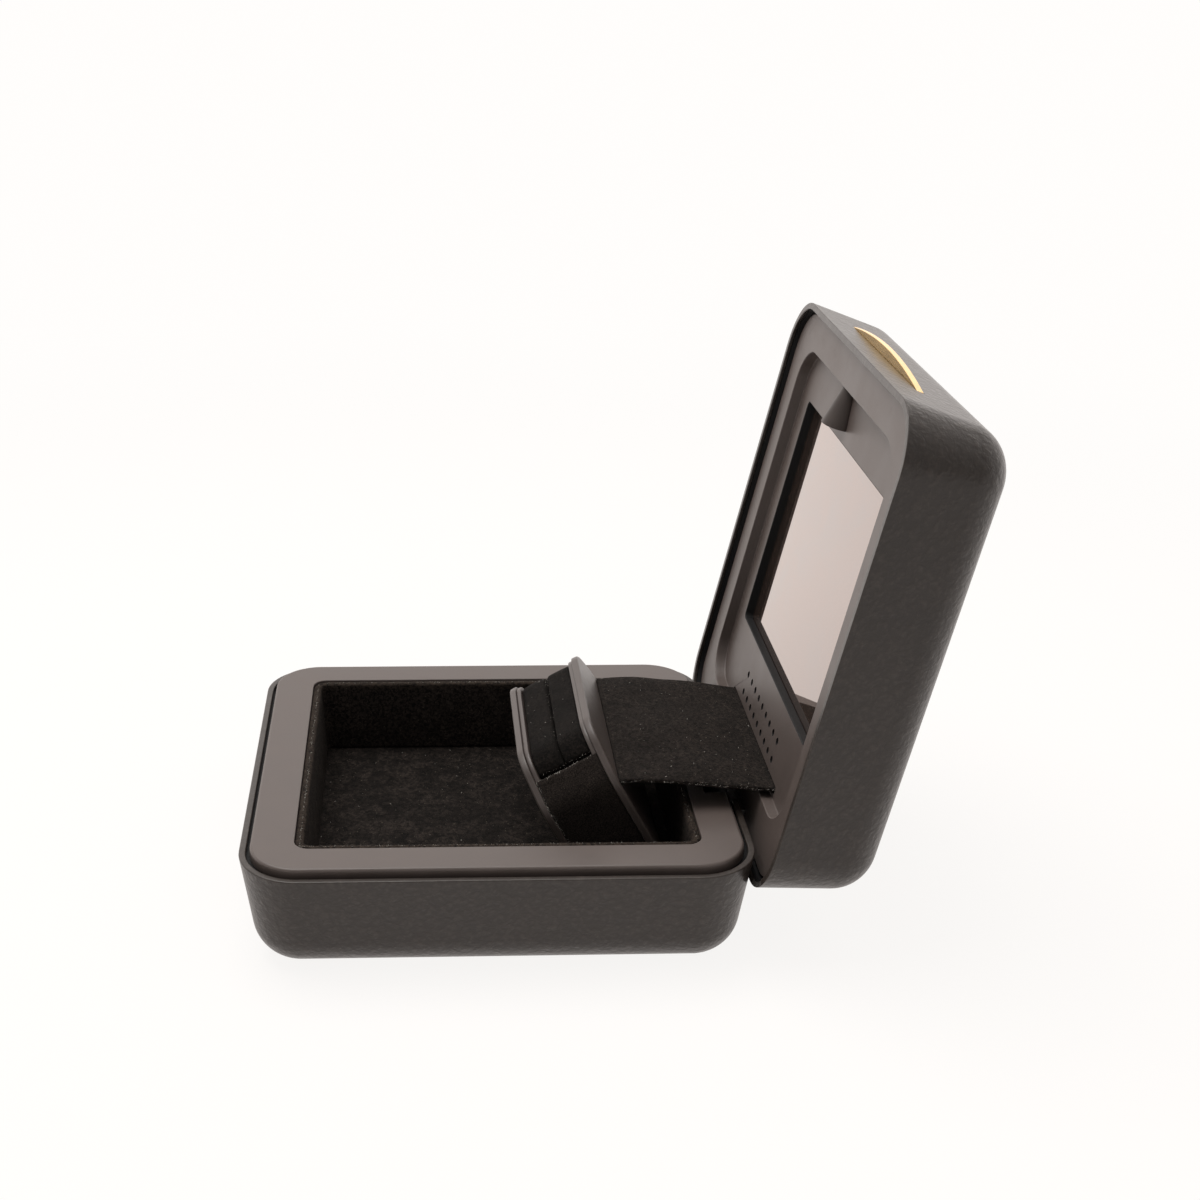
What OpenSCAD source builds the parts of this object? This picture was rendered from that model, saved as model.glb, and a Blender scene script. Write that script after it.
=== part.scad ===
// Hinged ring display box: leather-wrapped base and lid, a screen in the lid,
// and a slotted ring holder that a suede strap lifts as the lid opens.
// X runs along the hinge, -Y is the front, +Z is up, all in millimetres.
// The box is drawn with its lid open on the stop and the holder raised.

/* [Case] */
// Width of both halves at the rim, along the hinge
case_w = 95.5; // [80:0.5:130]
// Length of both halves at the rim, front to back
case_l = 100; // [96:0.5:140]
// Height of the base rim above the table
base_h = 22.6; // [21:0.1:34]
// Depth of the lid from its rim to its outer face
lid_h = 22.2; // [20:0.1:32]
// Plan corner radius at the rim
corner_r = 12; // [11:0.5:16]
// Draft of the outer walls, in degrees
draft = 8.6; // [4:0.2:9]
// Radius of the rounded edge between wall and outer face
edge_r = 8.9; // [6:0.1:10]
// Thickness of the leather wrap
leather_t = 0.8; // [0.6:0.1:1]
// Thickness of the moulded cores
core_t = 1.6; // [1.2:0.1:2]
// Width of the leather turned over the rim
rim_w = 1.4; // [1.2:0.1:1.8]
// Gap between the two rims when the box is shut
rim_gap = 0.3; // [0.3:0.1:1]

/* [Base] */
// Inset of the trim frame from the rim
frame_inset = 2.2; // [2:0.1:3]
// Height of the trim frame above the rim
frame_stand = 1.45; // [1:0.05:1.5]
// Thickness of the trim frame
frame_t = 2.4; // [1.8:0.1:3]
// Radius of the trim frame's top edges
frame_edge_r = 0.6; // [0.3:0.1:0.9]
// Width of the border between the well and the rim, front and sides
border_w = 10.05; // [9:0.05:13]
// Extra width of the front border
front_extra = 0.65; // [0:0.05:2]
// Width of the border between the well and the rear rim
rear_border_w = 10.3; // [10:0.1:13]
// Corner radius of the well
well_r = 3; // [2:0.5:6]
// Height of the suede floor of the well above the table
floor_z = 7.2; // [7:0.1:9]
// Thickness of the suede lining
lining_t = 0.8; // [0.5:0.1:1]
// Thickness of the well tray
tray_t = 1; // [0.8:0.1:1.4]
// Thickness of the felt pad under the base
felt_t = 0.9; // [0.6:0.1:1]
// How far the felt pad stands below the leather
felt_stand = 0.2; // [0.1:0.1:0.4]
// Thickness of the steel weight plate
weight_t = 2.4; // [1:0.1:2.4]
// Radius of the closing magnets
magnet_r = 2; // [1.5:0.1:2.1]
// Thickness of the closing magnets
magnet_t = 2; // [1:0.1:2.5]
// Distance of the closing magnets from the centre line
magnet_x = 28; // [20:0.5:32]

/* [Lid] */
// Depth of the lid frame below the lid rim
frame_drop = 1.6; // [1.6:0.05:2]
// Thickness of the lid frame
lid_frame_t = 1.4; // [1.2:0.1:2]
// Inset of the lid frame from the rim
lid_frame_inset = 2.15; // [2.05:0.05:2.4]
// Depth of the recess in the lid frame
recess_d = 2.4; // [1.8:0.1:3]
// Width of the recess
recess_w = 76; // [70:0.5:78]
// Draft of the recess walls, in degrees
recess_draft = 6; // [0:0.5:12]
// Corner radius of the recess
recess_r = 8; // [4:0.5:10]
// Border between the recess and the front rim
recess_front = 9.5; // [9:0.1:12]
// Border between the recess and the rear rim
recess_rear = 12.2; // [12:0.1:14]
// Thickness of the recess floor
recess_t = 1.8; // [1.2:0.1:2.2]
// Width of the screen opening
screen_w = 64; // [56:0.5:66]
// Height of the screen opening
screen_l = 51.2; // [44:0.2:52]
// Distance of the screen opening from the front rim
screen_front = 20.2; // [19:0.1:24]
// Thickness of the cover glass
glass_t = 1.1; // [0.7:0.1:1.5]
// Overlap of the cover glass behind the opening
glass_lap = 2; // [1.5:0.1:3]
// Thickness of the display module
module_t = 2.6; // [2:0.1:4]
// Spacing of the grille holes
grille_pitch = 4; // [3:0.1:4.5]
// Radius of the grille holes
grille_r = 0.55; // [0.4:0.05:0.8]
// Number of grille holes in a row
grille_count = 9; // [5:1:9]
// Distance between the two grille rows
grille_rows = 4.2; // [3:0.1:5]
// Distance of the nearer grille row from the rear rim
grille_rear = 16.9; // [16.5:0.1:19]
// Centre of the lamp cowl, across
cowl_x = -5; // [-12:0.5:12]
// Length of the lamp cowl
cowl_l = 8; // [6:0.1:9]
// Radius of the lamp cowl at its mouth
cowl_r = 4.2; // [3:0.1:6]
// Width of the metal thumb lip
lip_w = 50; // [30:1:56]
// How far the thumb lip stands out at its middle
lip_out = 2; // [1:0.1:3]
// Thickness of the thumb lip
lip_t = 1.2; // [0.8:0.1:2]
// Depth of the thumb lip below the lid rim
lip_drop = 6.4; // [5:0.1:10]

/* [Hinge] */
// Distance of the hinge axis inside the rear rim
axis_in = 3.6; // [3.4:0.1:4]
// Distance of the hinge axis below the base rim
axis_down = 3.3; // [3:0.1:3.6]
// Angle of the open lid on its stop, in degrees
open_angle = 101.9; // [90:0.1:102]
// Radius of the hinge barrels
barrel_r = 2.9; // [2.4:0.1:2.9]
// Radius of the hinge pins
pin_r = 1; // [0.8:0.1:1.2]
// Width of each hinge barrel
barrel_w = 11; // [8:0.5:12]
// Distance of each hinge from the centre line
hinge_x = 11.4; // [10:0.2:14]
// Thickness of the hinge arm
arm_t = 2.6; // [2:0.1:2.8]
// Thickness of the screwed foot of the hinge arm
foot_t = 1.4; // [1:0.1:1.8]
// Width of the lugs that hold the hinge pins
lug_w = 3.4; // [2.4:0.1:4]

/* [Ring holder] */
// Width of the holder at its shoulders
holder_w = 49.6; // [40:0.2:54]
// Width of the flat top of the holder
holder_top_w = 35; // [28:0.5:38]
// Thickness of the holder, front to back
holder_t = 16.8; // [14:0.1:16.8]
// Height of the holder top above its pivot
holder_h = 25; // [20:0.1:26]
// Height of the shoulders above the pivot
shoulder_h = 15.4; // [13:0.1:18]
// Radius of the knees of the outline
knee_r = 8; // [2:0.5:9]
// Length of the rear cheek below the pivot
tail_l = 6; // [2:0.1:8]
// Thickness of the outer cheeks
cheek_t = 1.5; // [1.2:0.1:2]
// Radius of the rounded outer edge of the cheeks
cheek_edge_r = 0.5; // [0.2:0.05:0.7]
// Thickness of the carrier walls behind the cheeks
carrier_t = 1; // [0.8:0.1:1.4]
// Forward lean of the raised holder, in degrees
lean = 29.3; // [15:0.1:40]
// Distance of the pivot in front of the rear well wall
pivot_fwd = 17.9; // [17:0.1:20]
// Width of the slot between the two rolls
slot_w = 1.2; // [0.6:0.1:3]
// Depth of the ring slot
slot_d = 12; // [6:0.5:14]
// Distance of the pivot in front of the holder's rear face
pivot_in = 12; // [10:0.1:12.5]
// Depth of the pads below the edge of the cheeks
pad_drop = 1; // [0.6:0.1:1.6]
// Thickness of the pads on the flanks
side_pad_t = 1.4; // [1:0.1:2]
// Distance of the lift strap's edges inside the flanks of the holder
strap_in = 1.3; // [0.8:0.1:8]
// Thickness of the lift strap
strap_t = 0.9; // [0.6:0.1:1.2]
// Height of the strap seam above the pivot, on the rear cheek
strap_seam_h = 13.4; // [8:0.1:14]
// Radius of the holder pivot pins
pivot_r = 1.2; // [1:0.1:1.5]

/* [Screws] */
// Radius of the shanks
screw_r = 0.75; // [0.6:0.05:0.8]
// Radius of the heads
head_r = 1.5; // [1.2:0.1:1.6]
// Height of the heads
head_t = 0.8; // [0.6:0.1:1]

/* [Clearances] */
// Radial clearance of a pin in its bore
pin_gap = 0.05; // [0.02:0.01:0.1]
// Gap between pieces that move past each other
move_gap = 0.4; // [0.3:0.1:0.6]
// Gap round a piece that drops into its seat
seat_gap = 0.15; // [0.1:0.05:0.3]

/* [Hidden] */
$fn = 48;

half_w = case_w / 2;
half_l = case_l / 2;
eps = 0.01;
// Heights in the base
rim_z = base_h;
frame_top = rim_z + frame_stand;
frame_bottom = frame_top - frame_t;
shell_t = leather_t + core_t;
well_hw = half_w - border_w;
well_front = -half_l + border_w + front_extra;
well_back = half_l - rear_border_w;
well_mid = (well_front + well_back) / 2;
well_hl = (well_back - well_front) / 2;
tray_top = frame_bottom - seat_gap;
// Hinge axis and lid heights, with the lid shut
axis_y = half_l - axis_in;
axis_z = rim_z - axis_down;
lid_rim_z = rim_z + rim_gap;
lid_plane = lid_rim_z + frame_drop;
recess_floor = lid_plane + recess_d;
glass_z = recess_floor + recess_t;
module_z = glass_z + glass_t;
lid_inner_top = lid_rim_z + lid_h - shell_t;
screen_mid = -half_l + screen_front + screen_l / 2;
screen_back = screen_mid + screen_l / 2;
recess_back = half_l - recess_rear;
recess_mid = (recess_back - half_l + recess_front) / 2;
recess_hl = (recess_back + half_l - recess_front) / 2;
// Radius of the corner of the base rim round the hinge axis, at a place x along it
function rim_out(x) = abs(x) <= half_w - corner_r ? axis_in
    : axis_in - corner_r + sqrt(max(0, pow(corner_r, 2) - pow(abs(x) - half_w + corner_r, 2)));
function sweep_r(x) = sqrt(pow(max(rim_out(x), 0), 2) + pow(axis_down, 2)) + rim_gap;
sweep_end = half_w - corner_r + sqrt(pow(corner_r, 2) - pow(corner_r - axis_in, 2));
// Ring holder
pivot_front = holder_t - pivot_in;
pivot_y = well_back - lining_t - pivot_fwd;
pivot_z = floor_z + rim_gap + pivot_front;
rear_e = holder_t - pivot_front;
front_e = -pivot_front;
inner_front = front_e + cheek_t + carrier_t;
inner_rear = rear_e - cheek_t - carrier_t;
// Brackets that the holder turns in: ear and screwed foot
ear_x = holder_w / 2 + move_gap;
ear_t = 1.6;
ear_r = 3.4;
foot_w = 4;
foot_l = 10;
ear_foot_t = 1;
ear_screw_y = 3;
// Strap ends in the closed and in the raised position
strap_w = holder_w - 2 * strap_in;
strap_y = recess_back - 1.6;
strap_thru = 1.3;

// ---------------------------------------------------------------- helpers

function unit(v) = v / norm(v);
function left_of(v) = [-v[1], v[0]];
// Tangent points and centre of a rounding of radius r at corner b, between a and c
function knee(a, b, c, r) =
    let (d1 = unit(b - a), d2 = unit(c - b))
    let (turn = atan2(d1[0] * d2[1] - d1[1] * d2[0], d1 * d2))
    let (t = r * tan(turn / 2))
    [b - t * d1, b + t * d2, b - t * d1 + r * left_of(d1)];

// Convex outline, counter-clockwise, with a true arc of its own radius at each corner
module soft_polygon(points, radii) {
    n = len(points);
    knees = [for (i = [0:n - 1])
        knee(points[(i + n - 1) % n], points[i], points[(i + 1) % n], radii[i])];
    polygon([for (i = [0:n - 1]) each radii[i] > 0 ? [knees[i][0], knees[i][1]] : [points[i]]]);
    for (i = [0:n - 1]) if (radii[i] > 0) translate(knees[i][2]) circle(r = radii[i]);
}

module soft_rect(hx, hy, r) {
    soft_polygon([[-hx, -hy], [hx, -hy], [hx, hy], [-hx, hy]], [r, r, r, r]);
}

module plate(hx, hy, r, z, t, y = 0) {
    translate([0, y, z]) linear_extrude(t) soft_rect(hx, hy, r);
}

// Carries a half section round a rounded rectangle; x = 0 of the section is the corner centre
module sweep_rect(hx, hy, r) {
    for (q = [0:3]) {
        cx = (q == 0 || q == 3) ? 1 : -1;
        cy = q < 2 ? 1 : -1;
        translate([cx * (hx - r), cy * (hy - r), 0]) rotate(90 * q)
            rotate_extrude(angle = 90) children();
    }
    for (s = [0, 180]) {
        rotate(s) translate([hx - r, hy - r, 0]) rotate([90, 0, 0])
            linear_extrude(2 * (hy - r)) children();
        rotate(s + 90) translate([hy - r, hx - r, 0]) rotate([90, 0, 0])
            linear_extrude(2 * (hx - r)) children();
    }
}

// Half section of a drafted pan, grown inwards by inset, from the corner centre out
module pan_section(h, inset, top) {
    wall_x = corner_r - h * tan(draft);
    arc_x = wall_x + edge_r * tan(draft) - edge_r / cos(draft);
    r = edge_r - inset;
    foot = [arc_x + r * cos(draft), edge_r - r * sin(draft)];
    lip = [corner_r - inset / cos(draft) + (top - h) * tan(draft), top];
    intersection() {
        union() {
            translate([arc_x, edge_r]) circle(r = r);
            polygon([[0, inset], [arc_x, inset], [arc_x, edge_r], foot, lip, [0, top]]);
        }
        square([2 * corner_r, 2 * h]);
    }
}

// Solid pan with its outer face on z = 0 and its rim at z = top
module pan(h, inset, top) {
    sweep_rect(half_w, half_l, corner_r) pan_section(h, inset, top);
    translate([corner_r - half_w, corner_r - half_l, inset])
        cube([case_w - 2 * corner_r, case_l - 2 * corner_r, top - inset]);
}

// Leather wrap of one half: skin on the outside, turned over the rim
module wrap(h) {
    difference() {
        pan(h, 0, h);
        pan(h, leather_t, h - leather_t);
        plate(half_w - rim_w, half_l - rim_w, corner_r - rim_w, h - leather_t - eps, h);
    }
}

// Moulded core of one half: a pan inside the leather, rebated beside the rim for its frame
module core_shell(h, rebate) {
    difference() {
        pan(h, leather_t, h - leather_t);
        pan(h, shell_t, h);
        intersection() {
            pan(h, rim_w, h);
            translate([-half_w, -half_l, h - rebate]) cube([case_w, case_l, h]);
        }
    }
}

// Puts what is drawn with the lid shut into the open position
module lid_open() {
    translate([0, axis_y, axis_z]) rotate([-open_angle, 0, 0])
        translate([0, -axis_y, -axis_z]) children();
}

// Turns a half drawn rim up into the shut lid
module lid_over() {
    translate([0, 0, lid_rim_z + lid_h]) mirror([0, 0, 1]) children();
}

// Puts what is drawn round the pivot, upright, into the raised position
module holder_up() {
    translate([0, pivot_y, pivot_z]) rotate([lean, 0, 0]) children();
}

module x_cylinder(r, x0, x1, y, z) {
    translate([x0, y, z]) rotate([0, 90, 0]) cylinder(r = r, h = x1 - x0);
}

// Space that the rear corner of the base rim turns through, seen from the lid
module rim_sweep() {
    xs = [for (i = [0:8]) half_w - corner_r + i * (sweep_end - half_w + corner_r) / 8];
    side = [for (x = xs) [sweep_r(x), x]];
    mirrored = [for (i = [8:-1:0]) [side[i][0], -side[i][1]]];
    translate([0, axis_y, axis_z]) rotate([0, 90, 0]) rotate_extrude()
        polygon(concat([[0, -sweep_end]], [[0, sweep_end]], [for (i = [8:-1:0]) side[i]],
            [for (i = [0:8]) mirrored[8 - i]]));
}

module at_hinges() {
    for (s = [-1, 1]) translate([s * hinge_x, 0, 0]) children();
}

// Slot in the rear border of the base for a hinge barrel and its arm
module hinge_slot() {
    w = barrel_w + 2 * move_gap;
    r = barrel_r + move_gap;
    at_hinges() {
        x_cylinder(r, -w / 2, w / 2, axis_y, axis_z);
        translate([-w / 2, axis_y - r, axis_z]) cube([w, 2 * r + axis_in, base_h]);
        translate([-w / 2, axis_y, axis_z - arm_t - move_gap]) cube([w, 2 * axis_in, base_h]);
    }
}

// ---------------------------------------------------------------- base

module base_cover() {
    color([0.16, 0.16, 0.17]) translate([0, 0, felt_stand]) difference() {
        wrap(base_h - felt_stand);
        plate(felt_hw + seat_gap, felt_hl + seat_gap, felt_r, -1, felt_t + 2);
        translate([0, 0, -felt_stand]) hinge_slot();
    }
}

felt_hw = half_w - corner_r;
felt_hl = half_l - corner_r;
felt_r = 4;

module hinge_lugs() {
    lug_y = axis_y - barrel_r;
    inner = barrel_w / 2 + move_gap;
    at_hinges() for (s = [-1, 1])
        translate([s > 0 ? inner : -inner - lug_w, lug_y, axis_z - barrel_r - 2])
            cube([lug_w, half_l - lug_y, frame_bottom - seat_gap - axis_z + barrel_r + 2]);
}

module base_core() {
    color([0.2, 0.2, 0.21]) difference() {
        union() {
            translate([0, 0, felt_stand]) core_shell(base_h - felt_stand, rim_z - frame_bottom);
            intersection() {
                union() {
                    hinge_lugs();
                    magnet_posts();
                }
                translate([0, 0, felt_stand]) pan(base_h - felt_stand, leather_t + eps, base_h - 1);
            }
        }
        plate(felt_hw + seat_gap, felt_hl + seat_gap, felt_r, -1, felt_t + 1 + seat_gap);
        hinge_slot();
        at_hinges() x_cylinder(pin_r + pin_gap, -barrel_w, barrel_w, axis_y, axis_z);
        for (s = [-1, 1]) translate([s * magnet_x, magnet_y, magnet_z - seat_gap])
            cylinder(r = magnet_r + seat_gap, h = 2 * magnet_t);
    }
}

wall_in = shell_t / cos(draft) + (frame_drop + lid_frame_t + magnet_t) * tan(draft);
magnet_bite = 0.45;
magnet_y = -half_l + (wall_in + recess_front - recess_t) / 2 - magnet_bite;
magnet_z = frame_bottom - seat_gap - magnet_t;

module magnet_posts() {
    w = magnet_r + 1;
    for (s = [-1, 1]) translate([s * magnet_x - w, -half_l, floor_z])
        cube([2 * w, recess_front - recess_t, frame_bottom - seat_gap - floor_z]);
}

module base_magnets() {
    color([0.7, 0.7, 0.72]) for (s = [-1, 1]) translate([s * magnet_x, magnet_y, magnet_z])
        cylinder(r = magnet_r, h = magnet_t);
}

// Half section of the trim frame's outer edge
module frame_edge_section(r) {
    soft_polygon([[0, frame_bottom], [r, frame_bottom], [r, frame_top], [0, frame_top]],
        [0, 0, frame_edge_r, 0]);
}

module base_frame() {
    r = corner_r - frame_inset;
    color([0.27, 0.27, 0.28]) difference() {
        union() {
            sweep_rect(half_w - frame_inset, half_l - frame_inset, r) frame_edge_section(r);
            translate([corner_r - half_w, corner_r - half_l, frame_bottom])
                cube([case_w - 2 * corner_r, case_l - 2 * corner_r, frame_t]);
        }
        plate(well_hw, well_hl, well_r, frame_bottom - 1, frame_t + 2, well_mid);
        hinge_slot();
    }
}

module well_tray() {
    grow = tray_t + lining_t;
    color([0.12, 0.12, 0.13]) difference() {
        union() {
            plate(well_hw + tray_t, well_hl + tray_t, well_r + tray_t, floor_z - grow,
                tray_top - floor_z + grow, well_mid);
        }
        plate(well_hw, well_hl, well_r, floor_z - lining_t, base_h, well_mid);
    }
}

module well_lining() {
    color([0.04, 0.04, 0.04]) difference() {
        plate(well_hw - seat_gap / 3, well_hl - seat_gap / 3, well_r, floor_z,
            frame_top - 0.5 - floor_z, well_mid);
        plate(well_hw - lining_t, well_hl - lining_t, well_r - lining_t, floor_z - 1, base_h, well_mid);
    }
}

module well_floor_pad() {
    color([0.05, 0.05, 0.05]) difference() {
        plate(well_hw - seat_gap / 3, well_hl - seat_gap / 3, well_r, floor_z - lining_t, lining_t,
            well_mid);
        bracket_feet(seat_gap);
    }
}

module felt_pad() {
    color([0.08, 0.08, 0.08]) plate(felt_hw, felt_hl, felt_r - seat_gap, 0, felt_t);
}

module weight_plate() {
    z = felt_stand + shell_t;
    color([0.5, 0.5, 0.52]) plate(felt_hw - 2, felt_hl - 2, 2, z, min(weight_t, floor_z - lining_t - tray_t - z));
}

// Depth of the pin ends inside the faces of the lugs
pin_sink = 0.2;

module hinge_pins() {
    reach = barrel_w / 2 + move_gap + lug_w - pin_sink;
    color([0.75, 0.75, 0.76]) at_hinges() x_cylinder(pin_r, -reach, reach, axis_y, axis_z);
}

// Feet of the pivot brackets, let into the floor of the well
module bracket_feet(gap) {
    w = ear_t + foot_w + 2 * gap;
    l = foot_l + 2 * gap;
    for (s = [-1, 1])
        translate([s * (ear_x + (ear_t + foot_w) / 2) - w / 2, pivot_y - l / 2, floor_z - lining_t])
            cube([w, l, lining_t + 1]);
}

module pivot_brackets() {
    color([0.55, 0.55, 0.57]) difference() {
        for (s = [-1, 1]) translate([s > 0 ? ear_x : -ear_x - ear_t, pivot_y, 0]) {
            translate([0, 0, pivot_z]) rotate([90, 0, 90]) linear_extrude(ear_t) difference() {
                union() {
                    circle(r = ear_r);
                    translate([-ear_r, floor_z - lining_t - pivot_z])
                        square([2 * ear_r, pivot_z - floor_z + lining_t]);
                }
                circle(r = pivot_r + pin_gap);
            }
            translate([s > 0 ? 0 : -foot_w, -foot_l / 2, floor_z - lining_t])
                cube([ear_t + foot_w, foot_l, ear_foot_t]);
        }
        at_bracket_screws() translate([0, 0, floor_z - 2])
            cylinder(r = screw_r + pin_gap, h = 4, $fn = 24);
    }
}

module at_bracket_screws() {
    for (s = [-1, 1], t = [-1, 1])
        translate([s * (ear_x + ear_t + foot_w / 2), pivot_y + ear_screw_y * t, 0]) children();
}

module bracket_screws() {
    color([0.7, 0.7, 0.72]) at_bracket_screws() {
        translate([0, 0, floor_z - lining_t + ear_foot_t]) cylinder(r = head_r, h = head_t, $fn = 24);
        translate([0, 0, floor_z - lining_t]) cylinder(r = screw_r, h = ear_foot_t, $fn = 24);
    }
}

// Length of the pivot pins outside the ears
pin_out = 0.8;

module pivot_pins() {
    color([0.75, 0.75, 0.76]) for (s = [0, 180]) rotate(s)
        translate([0, s == 0 ? 0 : -2 * pivot_y, 0])
            x_cylinder(pivot_r, holder_w / 2 - pin_depth, ear_x + ear_t + pin_out, pivot_y, pivot_z);
}

// ---------------------------------------------------------------- lid, drawn shut

module lid_cover() {
    color([0.16, 0.16, 0.17]) lid_open() difference() {
        lid_over() wrap(lid_h);
        rim_sweep();
        lip_slot(0);
    }
}

module lid_core() {
    floor = lid_plane + lid_frame_t;
    color([0.2, 0.2, 0.21]) lid_open() difference() {
        union() {
            lid_over() core_shell(lid_h, frame_drop + lid_frame_t);
            intersection() {
                union() {
                    arm_blocks();
                    board_posts();
                    lid_magnet_posts();
                }
                lid_over() pan(lid_h, leather_t + eps, lid_h - 2);
            }
        }
        rim_sweep();
        arm_pockets();
        lip_slot(0);
        hinge_screw_holes(screw_r);
        for (s = [-1, 1]) translate([s * magnet_x, magnet_y, floor + seat_gap - magnet_t])
            cylinder(r = magnet_r + seat_gap, h = 2 * magnet_t + seat_gap);
        at_board_corners() translate([0, 0, board_z - 1]) cylinder(r = screw_r, h = 6, $fn = 24);
    }
}

// Board behind the display, as wide as its module and a little more
board_gap = 1.6;
board_z = module_z + module_t + board_gap;
board_t = 1.2;
module_over = 1;
board_over = 1;
board_under = 3.6;
board_hw = screen_w / 2 + glass_lap + module_over + board_over;
board_hl = screen_l / 2 - board_under;
post_in = 3;
post_r = 2.2;

module at_board_corners() {
    for (s = [-1, 1], t = [-1, 1])
        translate([s * (board_hw - post_in), screen_mid + t * (board_hl - post_in), 0]) children();
}

module board_posts() {
    at_board_corners() translate([0, 0, board_z + board_t])
        cylinder(r = post_r, h = lid_inner_top - board_z - board_t + 0.5);
}

// Pockets in the rear wall of the core for the webs of the hinge arms
module arm_pockets() {
    w = barrel_w + 2 * seat_gap;
    z = lid_rim_z - 1;
    at_hinges() translate([-w / 2, axis_y - arm_t / 2 - seat_gap, z])
        cube([w, arm_t + 2 * seat_gap, foot_z + foot_t + seat_gap - z]);
}

// Blocks behind the hinge arms that the arms are screwed to
module arm_blocks() {
    top = foot_z + foot_t;
    at_hinges() translate([-barrel_w / 2, foot_y, top])
        cube([barrel_w, half_l - foot_y - shell_t, lid_inner_top - top + 0.5]);
}

module lid_magnet_posts() {
    w = magnet_r + 1;
    z = lid_plane + lid_frame_t;
    for (s = [-1, 1]) translate([s * magnet_x - w, -half_l, z])
        cube([2 * w, recess_front - recess_t - seat_gap, 6]);
}

module lid_magnets() {
    color([0.7, 0.7, 0.72]) lid_open() for (s = [-1, 1])
        translate([s * magnet_x, magnet_y, lid_plane + lid_frame_t])
            cylinder(r = magnet_r, h = magnet_t);
}

foot_z = lid_plane + lid_frame_t;
foot_y = recess_back + recess_t + 0.6;
foot_screw_x = 2.8;
foot_screw_y = 2.4;

module hinge_screw_holes(r) {
    at_hinges() for (s = [-1, 1]) translate([s * foot_screw_x, foot_y + foot_screw_y, foot_z - 1])
        cylinder(r = r, h = 6, $fn = 24);
}

// Arm that the lid swings on: barrel, web and screwed foot
module hinge_arm() {
    back = axis_y + arm_t / 2;
    x_cylinder(barrel_r, -barrel_w / 2, barrel_w / 2, axis_y, axis_z);
    translate([-barrel_w / 2, back - arm_t, axis_z]) cube([barrel_w, arm_t, foot_z + foot_t - axis_z]);
    translate([-barrel_w / 2, foot_y, foot_z]) cube([barrel_w, back - foot_y, foot_t]);
}

module hinge_arm_at(s) {
    color([0.6, 0.6, 0.62]) lid_open() difference() {
        translate([s * hinge_x, 0, 0]) hinge_arm();
        x_cylinder(pin_r + pin_gap, -half_w, half_w, axis_y, axis_z);
        hinge_screw_holes(screw_r + 2 * pin_gap);
    }
}

module hinge_arm_left() hinge_arm_at(-1);

module hinge_arm_right() hinge_arm_at(1);

module hinge_screws() {
    color([0.7, 0.7, 0.72]) lid_open() at_hinges() for (s = [-1, 1])
        translate([s * foot_screw_x, foot_y + foot_screw_y, foot_z])
            cylinder(r = screw_r, h = 4.6, $fn = 24);
}

// Notches in the lid frame round the hinge arms
module arm_notches() {
    w = barrel_w + 2 * seat_gap;
    at_hinges() translate([-w / 2, axis_y - arm_t / 2 - seat_gap, lid_plane - 1])
        cube([w, axis_in + arm_t, lid_frame_t + 2]);
}

module at_grille() {
    for (i = [0:grille_count - 1], row = [0, 1])
        translate([(i - (grille_count - 1) / 2) * grille_pitch,
            half_l - grille_rear - row * grille_rows, 0]) children();
}

// Half section of the recess, wider at its mouth by the draft of the mould
module recess_section() {
    polygon([[0, lid_plane - 1], [recess_r + (recess_d + 1) * tan(recess_draft), lid_plane - 1],
        [recess_r, recess_floor], [0, recess_floor]]);
}

module recess_cut() {
    translate([0, recess_mid, 0]) sweep_rect(recess_w / 2, recess_hl, recess_r) recess_section();
    translate([recess_r - recess_w / 2, recess_mid - recess_hl + recess_r, lid_plane - 1])
        cube([recess_w - 2 * recess_r, 2 * (recess_hl - recess_r), recess_d + 1]);
}

module lid_frame() {
    color([0.27, 0.27, 0.28]) lid_open() difference() {
        union() {
            plate(half_w - lid_frame_inset, half_l - lid_frame_inset, corner_r - lid_frame_inset,
                lid_plane, lid_frame_t);
            plate(recess_w / 2 + recess_t, recess_hl + recess_t, recess_r + recess_t, lid_plane,
                recess_d + recess_t, recess_mid);
        }
        recess_cut();
        plate(screen_w / 2, screen_l / 2, 0.8, recess_floor - 1, recess_t + 2, screen_mid);
        at_grille() translate([0, 0, recess_floor - 1]) cylinder(r = grille_r, h = recess_t + 2, $fn = 24);
        translate([-strap_w / 2 - seat_gap, strap_y - strap_thru / 2, recess_floor - 1])
            cube([strap_w + 2 * seat_gap, strap_thru, recess_t + 2]);
        translate([cowl_x, lamp_y, recess_floor - 1])
            cylinder(r = lamp_r + pin_gap, h = recess_t + 2, $fn = 24);
        arm_notches();
    }
}

lamp_r = 0.85;
lamp_y = -half_l + recess_front + cowl_l - 1.6;
// Depth of the hollow in the cowl's mouth, its wall and how far the cone narrows
cowl_hollow = 3.4;
cowl_wall = 0.6;
cowl_taper = 0.45;

// Half cone over the lamp, opening towards the screen
module lamp_cowl() {
    y0 = -half_l + recess_front;
    color([0.25, 0.25, 0.26]) lid_open() difference() {
        intersection() {
            translate([cowl_x, y0, recess_floor]) rotate([-90, 0, 0])
                cylinder(r1 = cowl_r * cowl_taper, r2 = cowl_r, h = cowl_l);
            translate([cowl_x - cowl_r, y0, recess_floor - cowl_r]) cube([2 * cowl_r, cowl_l, cowl_r]);
        }
        translate([cowl_x, y0 + cowl_l - cowl_hollow, recess_floor]) rotate([-90, 0, 0])
            cylinder(r1 = cowl_r / 2, r2 = cowl_r - cowl_wall, h = cowl_hollow + 0.1);
    }
}

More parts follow.
